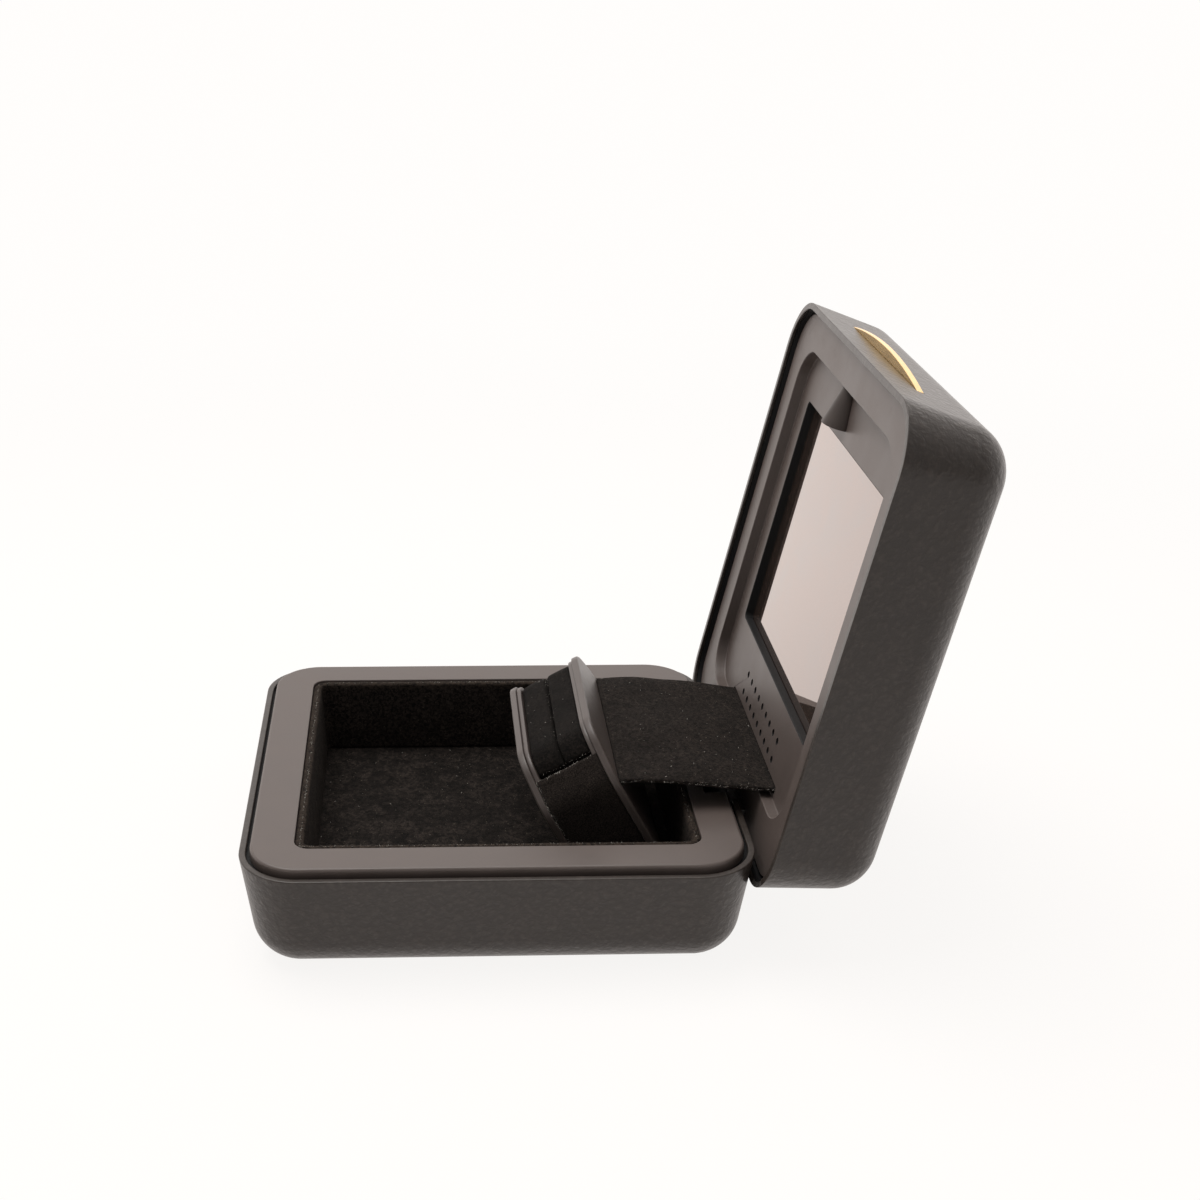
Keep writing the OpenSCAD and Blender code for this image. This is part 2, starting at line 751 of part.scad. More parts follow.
module lamp() {
    stand = lamp_r + 0.05;
    color([0.95, 0.95, 0.9]) lid_open() translate([cowl_x, lamp_y, recess_floor - stand]) {
        sphere(r = lamp_r, $fn = 24);
        cylinder(r = lamp_r, h = recess_t + stand, $fn = 24);
    }
}

module display_glass() {
    color([0.03, 0.03, 0.04]) lid_open()
        plate(screen_w / 2 + glass_lap, screen_l / 2 + glass_lap, 1, glass_z, glass_t, screen_mid);
}

module display_module() {
    color([0.5, 0.5, 0.52]) lid_open()
        plate(screen_w / 2 + glass_lap + module_over, screen_l / 2 + glass_lap, 1, module_z, module_t, screen_mid);
}

module main_board() {
    color([0.05, 0.3, 0.15]) lid_open() difference() {
        union() {
            plate(board_hw, board_hl, 2, board_z, board_t, screen_mid);
            translate([-8, screen_mid - 6, board_z - 1]) cube([12, 12, 1]);
            translate([12, screen_mid - 12, board_z - 1.2]) cube([14, 5, 1.2]);
            translate([-26, screen_mid + 6, board_z - 0.9]) cube([8, 6, 0.9]);
        }
        at_board_corners() translate([0, 0, board_z - 1])
            cylinder(r = screw_r + seat_gap, h = 4, $fn = 24);
    }
}

module board_screws() {
    color([0.7, 0.7, 0.72]) lid_open() at_board_corners() {
        translate([0, 0, board_z - head_t]) cylinder(r = head_r, h = head_t, $fn = 24);
        translate([0, 0, board_z]) cylinder(r = screw_r, h = 4.5, $fn = 24);
    }
}

// Flat pouch cell on the inner face of the lid
battery_w = 40;
battery_l = 28;
battery_t = 4.6;

module battery() {
    color([0.65, 0.67, 0.7]) lid_open()
        translate([-battery_w / 2, screen_mid, lid_inner_top - battery_t / 2]) rotate([90, 0, 90])
            linear_extrude(battery_w) soft_rect(battery_l / 2, battery_t / 2, 1);
}

// Speaker behind the grille
speaker_w = 40;
speaker_l = 6;
speaker_t = 3.6;

module speaker() {
    y = half_l - grille_rear - grille_rows / 2;
    color([0.1, 0.1, 0.1]) lid_open()
        plate(speaker_w / 2, speaker_l / 2, 2, glass_z, speaker_t, y);
}

// Segment of a disc whose straight edge lies in the front wall of the lid
module lip_segment(gap) {
    sink = 1.6;
    half_chord = lip_w / 2;
    r = (pow(half_chord, 2) + pow(lip_out, 2)) / (2 * lip_out);
    z = lid_rim_z + lip_drop;
    wall = -half_l + (lip_drop + lip_t / 2) * tan(draft);
    translate([0, wall, z - gap]) linear_extrude(lip_t + 2 * gap) {
        intersection() {
            translate([0, r - lip_out]) circle(r = r, $fn = 720);
            translate([-half_chord, -lip_out - 1]) square([lip_w, lip_out + 1]);
        }
        translate([-half_chord - gap, 0]) square([lip_w + 2 * gap, sink + gap]);
    }
}

module lip_slot(gap) lip_segment(gap + 0.02);

module thumb_lip() {
    color([0.85, 0.68, 0.35]) lid_open() lip_segment(0);
}

// End of the strap, drawn through its slit in the recess floor
module strap_anchor() {
    t = strap_t;
    color([0.04, 0.04, 0.04]) lid_open()
        translate([-strap_w / 2, strap_y - t / 2, recess_floor]) cube([strap_w, t, recess_t + 3.2]);
}

// Bar behind the recess floor that grips the end of the strap
clamp_end = 1.2;
clamp_front = 1.6;
clamp_l = 3.4;
clamp_t = 2.6;
grip = 0.02;

module strap_clamp() {
    t = strap_t + 2 * grip;
    z = recess_floor + recess_t;
    color([0.3, 0.3, 0.31]) lid_open() difference() {
        translate([-strap_w / 2 - clamp_end, strap_y - clamp_front, z])
            cube([strap_w + 2 * clamp_end, clamp_l, clamp_t]);
        translate([-strap_w / 2 - pin_gap, strap_y - t / 2, z - 1])
            cube([strap_w + 2 * pin_gap, t, clamp_t + 2]);
    }
}

// ---------------------------------------------------------------- ring holder, drawn upright

// Corners of the holder's outline across the box, shrunk by s, from the height foot upwards
function outline_corners(foot, s) =
    let (w = holder_w / 2 - s, tw = holder_top_w / 2 - s * 0.6)
    [[-w, foot], [w, foot], [w, shoulder_h], [tw, holder_h - s], [-tw, holder_h - s], [-w, shoulder_h]];
function outline_radii(s) =
    let (k = knee_r - min(s, knee_r / 2))
    [foot_r, foot_r, k, k, k, k];
foot_r = 0.8;

module holder_outline(foot, s) soft_polygon(outline_corners(foot, s), outline_radii(s));

// Stands an outline up as a wall from e0 to e1, front to back
module wall_of(e0, e1) {
    translate([0, e1, 0]) rotate([90, 0, 0]) linear_extrude(e1 - e0) children();
}

// Cheek lying on z = 0, its upper edge rounded all round the outline
module cheek(foot) {
    hull() for (a = [0:22.5:90])
        linear_extrude(cheek_t - cheek_edge_r * (1 - sin(a)))
            offset(delta = -cheek_edge_r * (1 - cos(a))) holder_outline(foot, 0);
}

module front_cheek() {
    color([0.3, 0.3, 0.31]) holder_up()
        translate([0, front_e + cheek_t, 0]) rotate([90, 0, 0]) cheek(0);
}

module rear_cheek() {
    color([0.3, 0.3, 0.31]) holder_up() difference() {
        translate([0, rear_e - cheek_t, 0]) mirror([0, 1, 0]) rotate([90, 0, 0]) cheek(-tail_l);
        translate([-strap_w / 2 - seat_gap, rear_e - cheek_t - 1, strap_seam_h - strap_thru / 2])
            cube([strap_w + 2 * seat_gap, cheek_t + 2, strap_thru]);
    }
}

// Profile of the carrier's underside, round the pivot and up to the rear cheek
module carrier_profile() {
    intersection() {
        union() {
            circle(r = pivot_front - 0.05);
            polygon([[0, -pivot_front + 0.05], [rear_e - cheek_t, -tail_l], [rear_e - cheek_t, holder_h],
                [front_e + cheek_t, holder_h], [front_e + cheek_t, 0]]);
        }
        translate([front_e + cheek_t, -tail_l]) square([holder_t - 2 * cheek_t, holder_h + tail_l]);
    }
}

module holder_carrier() {
    step = 0.5;
    color([0.24, 0.24, 0.25]) holder_up() difference() {
        intersection() {
            wall_of(front_e + cheek_t, rear_e - cheek_t) holder_outline(-tail_l, step);
            translate([-holder_w, 0, 0]) rotate([90, 0, 90]) linear_extrude(2 * holder_w) carrier_profile();
        }
        wall_of(inner_front, inner_rear) difference() {
            square([2 * holder_w, 4 * holder_h], center = true);
            translate([0, carrier_deck - holder_h]) square([2 * block_hw, 2 * holder_h], center = true);
        }
        for (s = [-1, 1]) translate([s * (holder_w / 2 - pin_depth / 2), 0, 0])
            x_cylinder(pivot_r + pin_gap, -pin_depth / 2 - seat_gap, pin_depth / 2 + seat_gap, 0, 0);
        translate([-strap_w / 2 - seat_gap, inner_rear - 1, strap_seam_h - strap_thru / 2])
            cube([strap_w + 2 * seat_gap, 6, strap_thru]);
    }
}

pad_fit = 0.05;
// The pads meet at a seam this far below the top, under the upper knees
seam_drop = 4.6;
seam_h = holder_h - seam_drop;
// Block between the carrier walls, its deck height above the pivot and the pin bores' depth
block_hw = holder_w / 2 - pad_drop - side_pad_t - pad_fit;
carrier_deck = 5;
pin_depth = 7;

// Side covering of the holder: down the flank from the seam at the knee
module side_pad(s) {
    color([0.05, 0.05, 0.05]) holder_up() difference() {
        intersection() {
            wall_of(inner_front + pad_fit, inner_rear - pad_fit) difference() {
                holder_outline(-tail_l + 1, pad_drop);
                holder_outline(-2 * tail_l, pad_drop + side_pad_t);
                translate([-holder_w, seam_h]) square([2 * holder_w, holder_h]);
            }
            translate([-holder_w, 0, 0]) rotate([90, 0, 90]) linear_extrude(2 * holder_w) carrier_profile();
            translate([s > 0 ? 0 : -holder_w, -holder_w, -holder_h])
                cube([holder_w, 2 * holder_w, 3 * holder_h]);
        }
        x_cylinder(pivot_r + move_gap, -holder_w, holder_w, 0, 0);
    }
}

module side_pad_left() side_pad(-1);

module side_pad_right() side_pad(1);

// Two suede rolls with the ring slot between them
module ring_pad() {
    mid = (inner_front + inner_rear) / 2;
    color([0.05, 0.05, 0.05]) holder_up() difference() {
        wall_of(inner_front + pad_fit, inner_rear - pad_fit) intersection() {
            holder_outline(carrier_deck + pad_fit, pad_drop);
            union() {
                holder_outline(0, pad_drop + side_pad_t + 2 * pad_fit);
                translate([-holder_w, seam_h + 2 * pad_fit]) square([2 * holder_w, holder_h]);
            }
        }
        translate([-holder_w, mid - slot_w / 2, holder_h - pad_drop - slot_d])
            cube([2 * holder_w, slot_w, slot_d + 2]);
    }
}

module strap_tail() {
    color([0.04, 0.04, 0.04]) holder_up()
        translate([-strap_w / 2, inner_rear + 0.1, strap_seam_h - strap_t / 2])
            cube([strap_w, rear_e - inner_rear - 0.1, strap_t]);
}

// ---------------------------------------------------------------- strap

strap_off = move_gap + strap_t / 2;
// Ends of the strap: on the open lid and on the raised holder, each a gap clear of its seam
function turned(y, z, a) = [y * cos(a) - z * sin(a), y * sin(a) + z * cos(a)];
strap_a = [axis_y, axis_z] + turned(strap_y - axis_y, recess_floor - strap_off - axis_z, -open_angle);
strap_b = [pivot_y, pivot_z] + turned(rear_e + strap_off, strap_seam_h, lean);

module lift_strap() {
    run = strap_b - strap_a;
    angle = atan2(run[1], run[0]);
    color([0.04, 0.04, 0.04]) translate([0, strap_a[0], strap_a[1]]) rotate([angle, 0, 0])
        translate([-strap_w / 2, 0, -strap_t / 2]) cube([strap_w, norm(run), strap_t]);
}

base_cover();
base_core();
base_frame();
well_tray();
well_lining();
well_floor_pad();
felt_pad();
weight_plate();
base_magnets();
hinge_pins();
pivot_brackets();
pivot_pins();
bracket_screws();
lid_cover();
lid_core();
lid_frame();
lamp_cowl();
lamp();
display_glass();
display_module();
main_board();
board_screws();
battery();
speaker();
lid_magnets();
hinge_arm_left();
hinge_arm_right();
hinge_screws();
thumb_lip();
strap_anchor();
strap_clamp();
front_cheek();
rear_cheek();
holder_carrier();
ring_pad();
side_pad_left();
side_pad_right();
strap_tail();
lift_strap();
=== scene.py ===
"""Finished pieces of a ring display box: leather halves, a screen in the lid and a suede ring holder."""

import math

import bmesh
import bpy
from mathutils import Euler, Matrix, Vector, noise


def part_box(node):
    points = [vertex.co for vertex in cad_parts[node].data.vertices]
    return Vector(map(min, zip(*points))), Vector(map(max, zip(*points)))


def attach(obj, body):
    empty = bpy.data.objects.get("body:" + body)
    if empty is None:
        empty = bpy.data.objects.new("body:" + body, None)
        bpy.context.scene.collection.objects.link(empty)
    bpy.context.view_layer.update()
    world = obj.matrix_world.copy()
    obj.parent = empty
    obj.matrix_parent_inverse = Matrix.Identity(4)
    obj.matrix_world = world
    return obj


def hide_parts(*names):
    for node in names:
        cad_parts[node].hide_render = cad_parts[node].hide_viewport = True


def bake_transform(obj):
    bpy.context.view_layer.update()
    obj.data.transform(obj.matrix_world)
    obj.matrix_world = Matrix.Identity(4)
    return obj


bl_info = {
    "name": "Ring Display Box",
    "version": (1, 0, 0),
    "blender": (4, 5, 0),
    "location": "View3D > Sidebar > Ring Box",
    "description": "Builds the finished pieces of a hinged ring display box",
    "category": "Object",
}

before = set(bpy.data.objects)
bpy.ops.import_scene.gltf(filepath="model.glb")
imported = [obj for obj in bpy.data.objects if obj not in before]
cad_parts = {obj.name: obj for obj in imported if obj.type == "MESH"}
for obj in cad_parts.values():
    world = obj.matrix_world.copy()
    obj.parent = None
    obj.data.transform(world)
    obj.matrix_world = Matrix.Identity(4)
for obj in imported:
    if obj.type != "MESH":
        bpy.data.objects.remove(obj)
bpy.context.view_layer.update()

MM = 0.001

# The mechanism with the lid on its stop, in millimetres and degrees. Axes and pivots are given by y and z,
# and the lid's own places as they lie with the lid shut.
LID_ANGLE = 101.9
HINGE_AXIS = (46.4, 19.3)
HOLDER_PIVOT = (21.0, 12.3)
HOLDER_LEAN = 29.3
RECESS_FLOOR = 26.9
RECESS_THICK = 1.8
PANEL_HALF = 34.0
STRAP_LINE = 36.2

# The rims of the base and of the shut lid above the table, in millimetres, and the height of their pressed band, which
# is lighter as a painted highlight
BASE_RIM = 22.6
LID_RIM = 22.9
RIM_BAND = 0.25

# The top of the well's lining, just under the top of the base's frame, in metres
LINING_TOP = 0.0238

# Edges shorter than this, in metres, are the rims of small holes
HOLE_EDGE = 0.00012

# The holder's outline, in millimetres across and up from its pivot
HOLDER_HALF = 24.8
HOLDER_TOP_HALF = 17.5
HOLDER_TOP = 25.0
HOLDER_SHOULDER = 15.4
HOLDER_LOW = -8.0

# The holder from front to back, in millimetres to the rear of its pivot: the two rolls, the space between the
# carrier's walls, the space between the cheeks, and the rear face with the strap's seam in it, given by its height
FRONT_ROLL = (-2.2, 3.32)
BACK_ROLL = (3.88, 9.4)
INNER_FRONT, INNER_BACK = -2.2, 9.4
PAD_FRONT, PAD_BACK = -3.2, 10.4
REAR_FACE = 12.0
STRAP_SEAM = 13.4

# The pads' skin, in millimetres: how far it lies inside the outline, its rounded knee, the heights of its seams and
# its lower end above the pivot, and how deep its underside lies between the walls and over their rims
ROLL_INSET = 1.0
PAD_INSET = 0.35
PAD_KNEE = 7.0
ROLL_SEAM = 20.52
SIDE_SEAM = 20.34
PAD_FOOT = -4.5
PAD_UNDER = 2.36
RIM_UNDER = 0.55

# Radii about the pivot, in millimetres: the carrier's rounded foot and the way through a side pad for the pin
CARRIER_ROUND = 4.65
PIN_WAY = 1.6

# The lift strap, in millimetres
STRAP_HALF = 23.5
STRAP_THICK = 0.9
STRAP_CLEAR = 0.06

# The camera: its place in metres, its turn in degrees, its focal length and the middle of its view in pixels
IMAGE_SIZE = 1200
SENSOR = 36.0
FOCAL_LENGTH = 1721.958
VIEW_MIDDLE = (485.094, 592.259)
CAMERA_PLACE = (0.32517873, -0.01506742, 0.19487974)
CAMERA_TURN = (67.69338, -0.52998, 87.82049)


# ---------------------------------------------------------------- settings


class RingBoxSizes(bpy.types.PropertyGroup):
    """Sizes of the finish of each piece"""

    leather_edge: bpy.props.FloatProperty(
        name="Leather Edge",
        description="Rounding of the leather where it turns over the rim",
        default=0.0003,
        subtype="DISTANCE",
        unit="LENGTH",
    )
    trim_edge: bpy.props.FloatProperty(
        name="Trim Edge",
        description="Rounding of the moulded edges of the trim frames",
        default=0.00022,
        subtype="DISTANCE",
        unit="LENGTH",
    )
    cheek_edge: bpy.props.FloatProperty(
        name="Cheek Edge",
        description="Rounding of the inner rims of the two holder cheeks",
        default=0.0002,
        subtype="DISTANCE",
        unit="LENGTH",
    )
    metal_edge: bpy.props.FloatProperty(
        name="Metal Edge",
        description="Rounding of the edges of the metal pieces",
        default=0.00014,
        subtype="DISTANCE",
        unit="LENGTH",
    )
    grain_size: bpy.props.FloatProperty(
        name="Leather Grain",
        description="Width of one pebble of the leather grain",
        default=0.001,
        subtype="DISTANCE",
        unit="LENGTH",
    )
    pad_roll: bpy.props.FloatProperty(
        name="Pad Roll",
        description="Radius of the rolled edges of the ring pad",
        default=0.0006,
        subtype="DISTANCE",
        unit="LENGTH",
    )
    side_roll: bpy.props.FloatProperty(
        name="Side Roll",
        description="Radius of the rolled edges of the side pads",
        default=0.0006,
        subtype="DISTANCE",
        unit="LENGTH",
    )
    lining_thickness: bpy.props.FloatProperty(
        name="Lining Thickness",
        description="Thickness of the well's suede wall with its nap",
        default=0.0017,
        min=0.0008,
        unit="LENGTH",
    )
    lining_roll: bpy.props.FloatProperty(
        name="Lining Roll",
        description="Radius of the rolled top edge of the well lining",
        default=0.0006,
        subtype="DISTANCE",
        unit="LENGTH",
    )
    strap_ripple: bpy.props.FloatProperty(
        name="Strap Ripple",
        description="Height of the ripples in the lift strap",
        default=0.00035,
        subtype="DISTANCE",
        unit="LENGTH",
    )
    fibre_length: bpy.props.FloatProperty(
        name="Fibre Length",
        description="Length of the loose fibres along cut suede edges",
        default=0.00042,
        subtype="DISTANCE",
        unit="LENGTH",
    )
    lint_density: bpy.props.FloatProperty(
        name="Lint Density",
        description="Lint specks on a square metre of suede",
        default=30000.0,
        min=0.0,
    )


class RingBoxColours(bpy.types.PropertyGroup):
    """Colours of the finishes"""

    leather: bpy.props.FloatVectorProperty(
        name="Leather",
        description="Colour of the leather wrap",
        default=(0.028, 0.0218, 0.0182),
        subtype="COLOR",
    )
    trim: bpy.props.FloatVectorProperty(
        name="Trim",
        description="Colour of the satin moulded trim",
        default=(0.082, 0.0638, 0.0565),
        subtype="COLOR",
    )
    suede: bpy.props.FloatVectorProperty(
        name="Suede",
        description="Colour of the suede",
        default=(0.0085, 0.0066, 0.0056),
        subtype="COLOR",
    )
    gold: bpy.props.FloatVectorProperty(
        name="Gold",
        description="Colour of the thumb lip",
        default=(0.98, 0.7, 0.34),
        subtype="COLOR",
    )
    steel: bpy.props.FloatVectorProperty(
        name="Steel",
        description="Colour of the hinge and bracket metal",
        default=(0.42, 0.42, 0.43),
        subtype="COLOR",
    )
    screen: bpy.props.FloatVectorProperty(
        name="Screen",
        description="Colour of the blank screen under its glass",
        default=(0.03, 0.024, 0.021),
        subtype="COLOR",
    )


class RingBoxStudio(bpy.types.PropertyGroup):
    """Light and background"""

    sky: bpy.props.FloatProperty(
        name="Sky",
        description="Strength of the soft light from above and behind",
        default=0.75,
        min=0.0,
    )
    top_light: bpy.props.FloatProperty(
        name="Top Light",
        description="Power of the soft light above the box",
        default=6.5,
        min=0.0,
        unit="POWER",
    )
    mirrored: bpy.props.FloatProperty(
        name="Mirrored",
        description="Brightness of the far side of the studio in gloss and metal",
        default=1.38,
        min=0.0,
    )
    floor: bpy.props.FloatVectorProperty(
        name="Floor",
        description="Colour of the floor",
        default=(0.94, 0.88, 0.84),
        subtype="COLOR",
    )
    mirror_tint: bpy.props.FloatVectorProperty(
        name="Mirror Tint",
        description="Colour of the studio as gloss and metal show it",
        default=(1.0, 0.94, 0.905),
        subtype="COLOR",
    )
    backdrop: bpy.props.FloatVectorProperty(
        name="Backdrop",
        description="Colour of the background behind the floor",
        default=(1.0, 0.985, 0.97),
        subtype="COLOR",
    )


# ---------------------------------------------------------------- places


def turned(y, z, degrees):
    """The point (y, z) turned about X, in millimetres."""
    a = math.radians(degrees)
    return y * math.cos(a) - z * math.sin(a), y * math.sin(a) + z * math.cos(a)


def on_holder(x, e, u):
    """A point of the raised holder: x across, e to the rear, u up, from its pivot, in millimetres."""
    y, z = turned(e, u, HOLDER_LEAN)
    return Vector((x, HOLDER_PIVOT[0] + y, HOLDER_PIVOT[1] + z)) * MM


def on_lid(x, y, z):
    """A point given with the lid shut, carried to the open lid, in millimetres."""
    dy, dz = turned(y - HINGE_AXIS[0], z - HINGE_AXIS[1], -LID_ANGLE)
    return Vector((x, HINGE_AXIS[0] + dy, HINGE_AXIS[1] + dz)) * MM


def box_of(*nodes):
    """Lowest and highest corner of several nodes together."""
    corners = [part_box(node) for node in nodes]
    low = Vector([min(c[0][i] for c in corners) for i in range(3)])
    high = Vector([max(c[1][i] for c in corners) for i in range(3)])
    return low, high


def in_shut_lid(point):
    """Where a point of the open lid lies with the lid shut, in millimetres."""
    y, z = turned(point.y / MM - HINGE_AXIS[0], point.z / MM - HINGE_AXIS[1], LID_ANGLE)
    return point.x / MM, HINGE_AXIS[0] + y, HINGE_AXIS[1] + z


# ---------------------------------------------------------------- nodes


def feed(tree, socket, value):
    """Links a node's output to a socket, or sets the socket; a colour may come without its alpha."""
    if isinstance(value, bpy.types.NodeSocket):
        tree.links.new(value, socket)
    elif socket.type == "RGBA" and len(value) == 3:
        socket.default_value = (*value, 1.0)
    else:
        socket.default_value = value


def wired(tree, kind, inputs, **settings):
    """Adds a node to a tree, with its settings and its inputs given by name or number."""
    made = tree.nodes.new(kind)
    for setting, value in settings.items():
        setattr(made, setting, value)
    for socket, value in inputs.items():
        feed(tree, made.inputs[socket], value)
    return made


def reckoned(tree, a, b, operation="ADD"):
    """A sum, product or other operation on two numbers."""
    return wired(tree, "ShaderNodeMath", {0: a, 1: b}, operation=operation).outputs[0]


def mapped(tree, value, low, high, to_low=0.0, to_high=1.0, smooth=True):
    """Maps value from low..high to to_low..to_high, clamped."""
    return wired(
        tree,
        "ShaderNodeMapRange",
        {"Value": value, "From Min": low, "From Max": high, "To Min": to_low, "To Max": to_high},
        interpolation_type="SMOOTHSTEP" if smooth else "LINEAR",
    ).outputs[0]


def pushed(tree, size, amount, detail):
    """A vector of smooth noise, in features about size metres wide, either way by up to half the amount."""
    push = wired(tree, "ShaderNodeTexNoise", {"Scale": 1.0 / size, "Detail": detail})
    centred = wired(
        tree, "ShaderNodeVectorMath", {0: push.outputs["Color"], 1: (0.5, 0.5, 0.5)}, operation="SUBTRACT"
    )
    scaled = wired(tree, "ShaderNodeVectorMath", {0: centred.outputs[0], "Scale": amount}, operation="SCALE")
    return push, scaled.outputs[0]


# ---------------------------------------------------------------- finishes


class Finish:
    """A node material under construction: a Principled surface that patterns are fed into."""

    def __init__(self, name, **sockets):
        self.material = bpy.data.materials.new(name)
        self.material.use_nodes = True
        self.tree = self.material.node_tree
        self.tree.nodes.clear()
        self.surface = self.node("ShaderNodeBsdfPrincipled", {})
        self.output = self.node("ShaderNodeOutputMaterial", {"Surface": self.surface.outputs[0]})
        for socket, value in sockets.items():
            self.set(socket.replace("_", " "), value)
        self.place = self.node("ShaderNodeTexCoord", {}).outputs["Object"]

    def set(self, socket, value):
        """Sets a socket of the surface, or feeds it from a node's output."""
        feed(self.tree, self.surface.inputs[socket], value)

    def node(self, kind, inputs, **settings):
        """Adds a node, with its settings and its inputs given by name or number."""
        return wired(self.tree, kind, inputs, **settings)

    def noise(self, size, detail=3.0, roughness=0.5, distortion=0.0, place=None):
        """Noise whose features are about size metres wide."""
        return self.node(
            "ShaderNodeTexNoise",
            {
                "Vector": place or self.place,
                "Scale": 1.0 / size,
                "Detail": detail,
                "Roughness": roughness,
                "Distortion": distortion,
            },
        )

    def cells(self, size, feature="F1", place=None, randomness=1.0):
        """Cells about size metres wide."""
        return self.node(
            "ShaderNodeTexVoronoi",
            {"Vector": place or self.place, "Scale": 1.0 / size, "Randomness": randomness},
            feature=feature,
        )

    def warped(self, size, amount):
        """Object coordinates pushed about by noise, so that a pattern on them isn't regular."""
        push, offset = pushed(self.tree, size, amount, 2.0)
        feed(self.tree, push.inputs["Vector"], self.place)
        return self.node("ShaderNodeVectorMath", {0: self.place, 1: offset}, operation="ADD").outputs[0]

    def stretched(self, scale):
        """Object coordinates scaled by axis, for a pattern that runs along one of them."""
        return self.node("ShaderNodeMapping", {"Vector": self.place, "Scale": scale}).outputs[0]

    def span(self, value, low, high, to_low=0.0, to_high=1.0, smooth=True):
        """Maps value from low..high to to_low..to_high, clamped."""
        return mapped(self.tree, value, low, high, to_low, to_high, smooth)

    def sum(self, a, b):
        """a and b added."""
        return reckoned(self.tree, a, b)

    def times(self, a, b):
        """a and b multiplied."""
        return reckoned(self.tree, a, b, "MULTIPLY")

    def mixed(self, way, factor, first, second):
        """A colour mix of the given way; each colour is fixed or comes from a node."""
        mix = self.node("ShaderNodeMix", {}, data_type="RGBA", blend_type=way)
        colours = [s for s in mix.inputs if s.type == "RGBA"]
        for socket, value in zip([mix.inputs[0], *colours], (factor, first, second)):
            feed(self.tree, socket, value)
        return [s for s in mix.outputs if s.type == "RGBA"][0]

    def blend(self, factor, first, second):
        """first where factor is 0, second where it is 1."""
        return self.mixed("MIX", factor, first, second)

    def tint(self, colour, amount):
        """colour times amount, where amount is a pattern around 1."""
        grey = self.node("ShaderNodeCombineColor", {0: amount, 1: amount, 2: amount}).outputs[0]
        return self.mixed("MULTIPLY", 1.0, colour, grey)

    def relief(self, height, depth, strength=1.0, under=None):
        """Bump of the given depth in metres, over another bump if one is given."""
        inputs = {"Height": height, "Distance": depth, "Strength": strength}
        if under is not None:
            inputs["Normal"] = under
        return self.node("ShaderNodeBump", inputs).outputs[0]


# Dust on the screen and on the trim, specks in suede, and the lighter brown painted as light on the top edge of the
# suede lining
DUST = (0.4, 0.39, 0.38)
DUST_ON_TRIM = (0.42, 0.4, 0.38)
SPECK = (0.105, 0.088, 0.07)
PAINTED_LIGHT_BROWN = (0.036, 0.0265, 0.0205)


def shade(colour, factor):
    """colour made lighter or darker."""
    return tuple(min(1.0, c * factor) for c in colour)


def leather_finish(name, colour, grain, depth=0.15):
    """Soft low pebbles with fine pores between them, under a satin finish that shines at a low angle."""
    f = Finish(name, Specular_IOR_Level=0.1, Coat_Weight=0.72, Coat_Roughness=0.29)
    place = f.warped(grain * 2.4, grain * 1.7)
    pebble = f.cells(grain, "SMOOTH_F1", place).outputs["Distance"]
    small = f.cells(grain * 0.45, "SMOOTH_F1", place).outputs["Distance"]
    swell = f.noise(grain * 1.6, detail=2.0).outputs["Fac"]
    pores = f.noise(grain * 0.17, detail=2.0).outputs["Fac"]
    drift = f.noise(grain * 9.0, detail=3.0).outputs["Fac"]
    height = f.sum(f.times(pebble, -0.7), f.times(small, -0.3))
    height = f.sum(height, f.times(swell, 0.9))
    fine = f.relief(pores, grain * 0.03, 0.35)
    pebbled = f.relief(height, grain * depth, 0.8, fine)
    f.set("Normal", pebbled)
    f.set("Coat Normal", pebbled)
    crown = f.span(height, -0.1, 0.4)
    surface = f.blend(crown, shade(colour, 0.8), shade(colour, 1.14))
    f.set("Base Color", f.tint(surface, f.span(drift, 0.3, 0.7, 0.93, 1.07)))
    f.set("Roughness", f.sum(f.span(crown, 0.0, 1.0, 0.62, 0.52), f.span(drift, 0.3, 0.7, -0.03, 0.04)))
    return f.material


def trim_finish(name, colour, roughness=0.42, speck=1.0, gloss=0.5):
    """Satin moulded plastic: spark-eroded texture, slight cloudiness, dust and faint rubbed marks."""
    f = Finish(name, Specular_IOR_Level=gloss)
    texture = f.noise(0.00016, detail=2.0, roughness=0.6).outputs["Fac"]
    cloud = f.noise(0.011, detail=4.0, roughness=0.6).outputs["Fac"]
    rub = f.noise(0.0045, detail=5.0, roughness=0.7, distortion=1.2, place=f.stretched((1.0, 0.3, 0.6))).outputs["Fac"]
    dust = f.cells(0.0034, "F1").outputs
    near = f.span(dust["Distance"], 0.018, 0.03, 1.0, 0.0)
    rare = f.span(f.noise(0.006, detail=0.0).outputs["Fac"], 0.6, 0.64, 0.0, 0.55 * speck)
    tone = f.span(cloud, 0.3, 0.7, 0.93, 1.07)
    base = f.tint(colour, tone)
    worn = f.blend(f.span(rub, 0.58, 0.8, 0.0, 0.12), base, shade(colour, 1.6))
    f.set("Base Color", f.blend(f.times(near, rare), worn, DUST_ON_TRIM))
    satin = f.span(cloud, 0.3, 0.7, roughness - 0.03, roughness + 0.04)
    f.set("Roughness", f.sum(satin, f.span(rub, 0.55, 0.8, 0.0, 0.07)))
    f.set("Normal", f.relief(texture, 0.000012, 0.6))
    return f.material


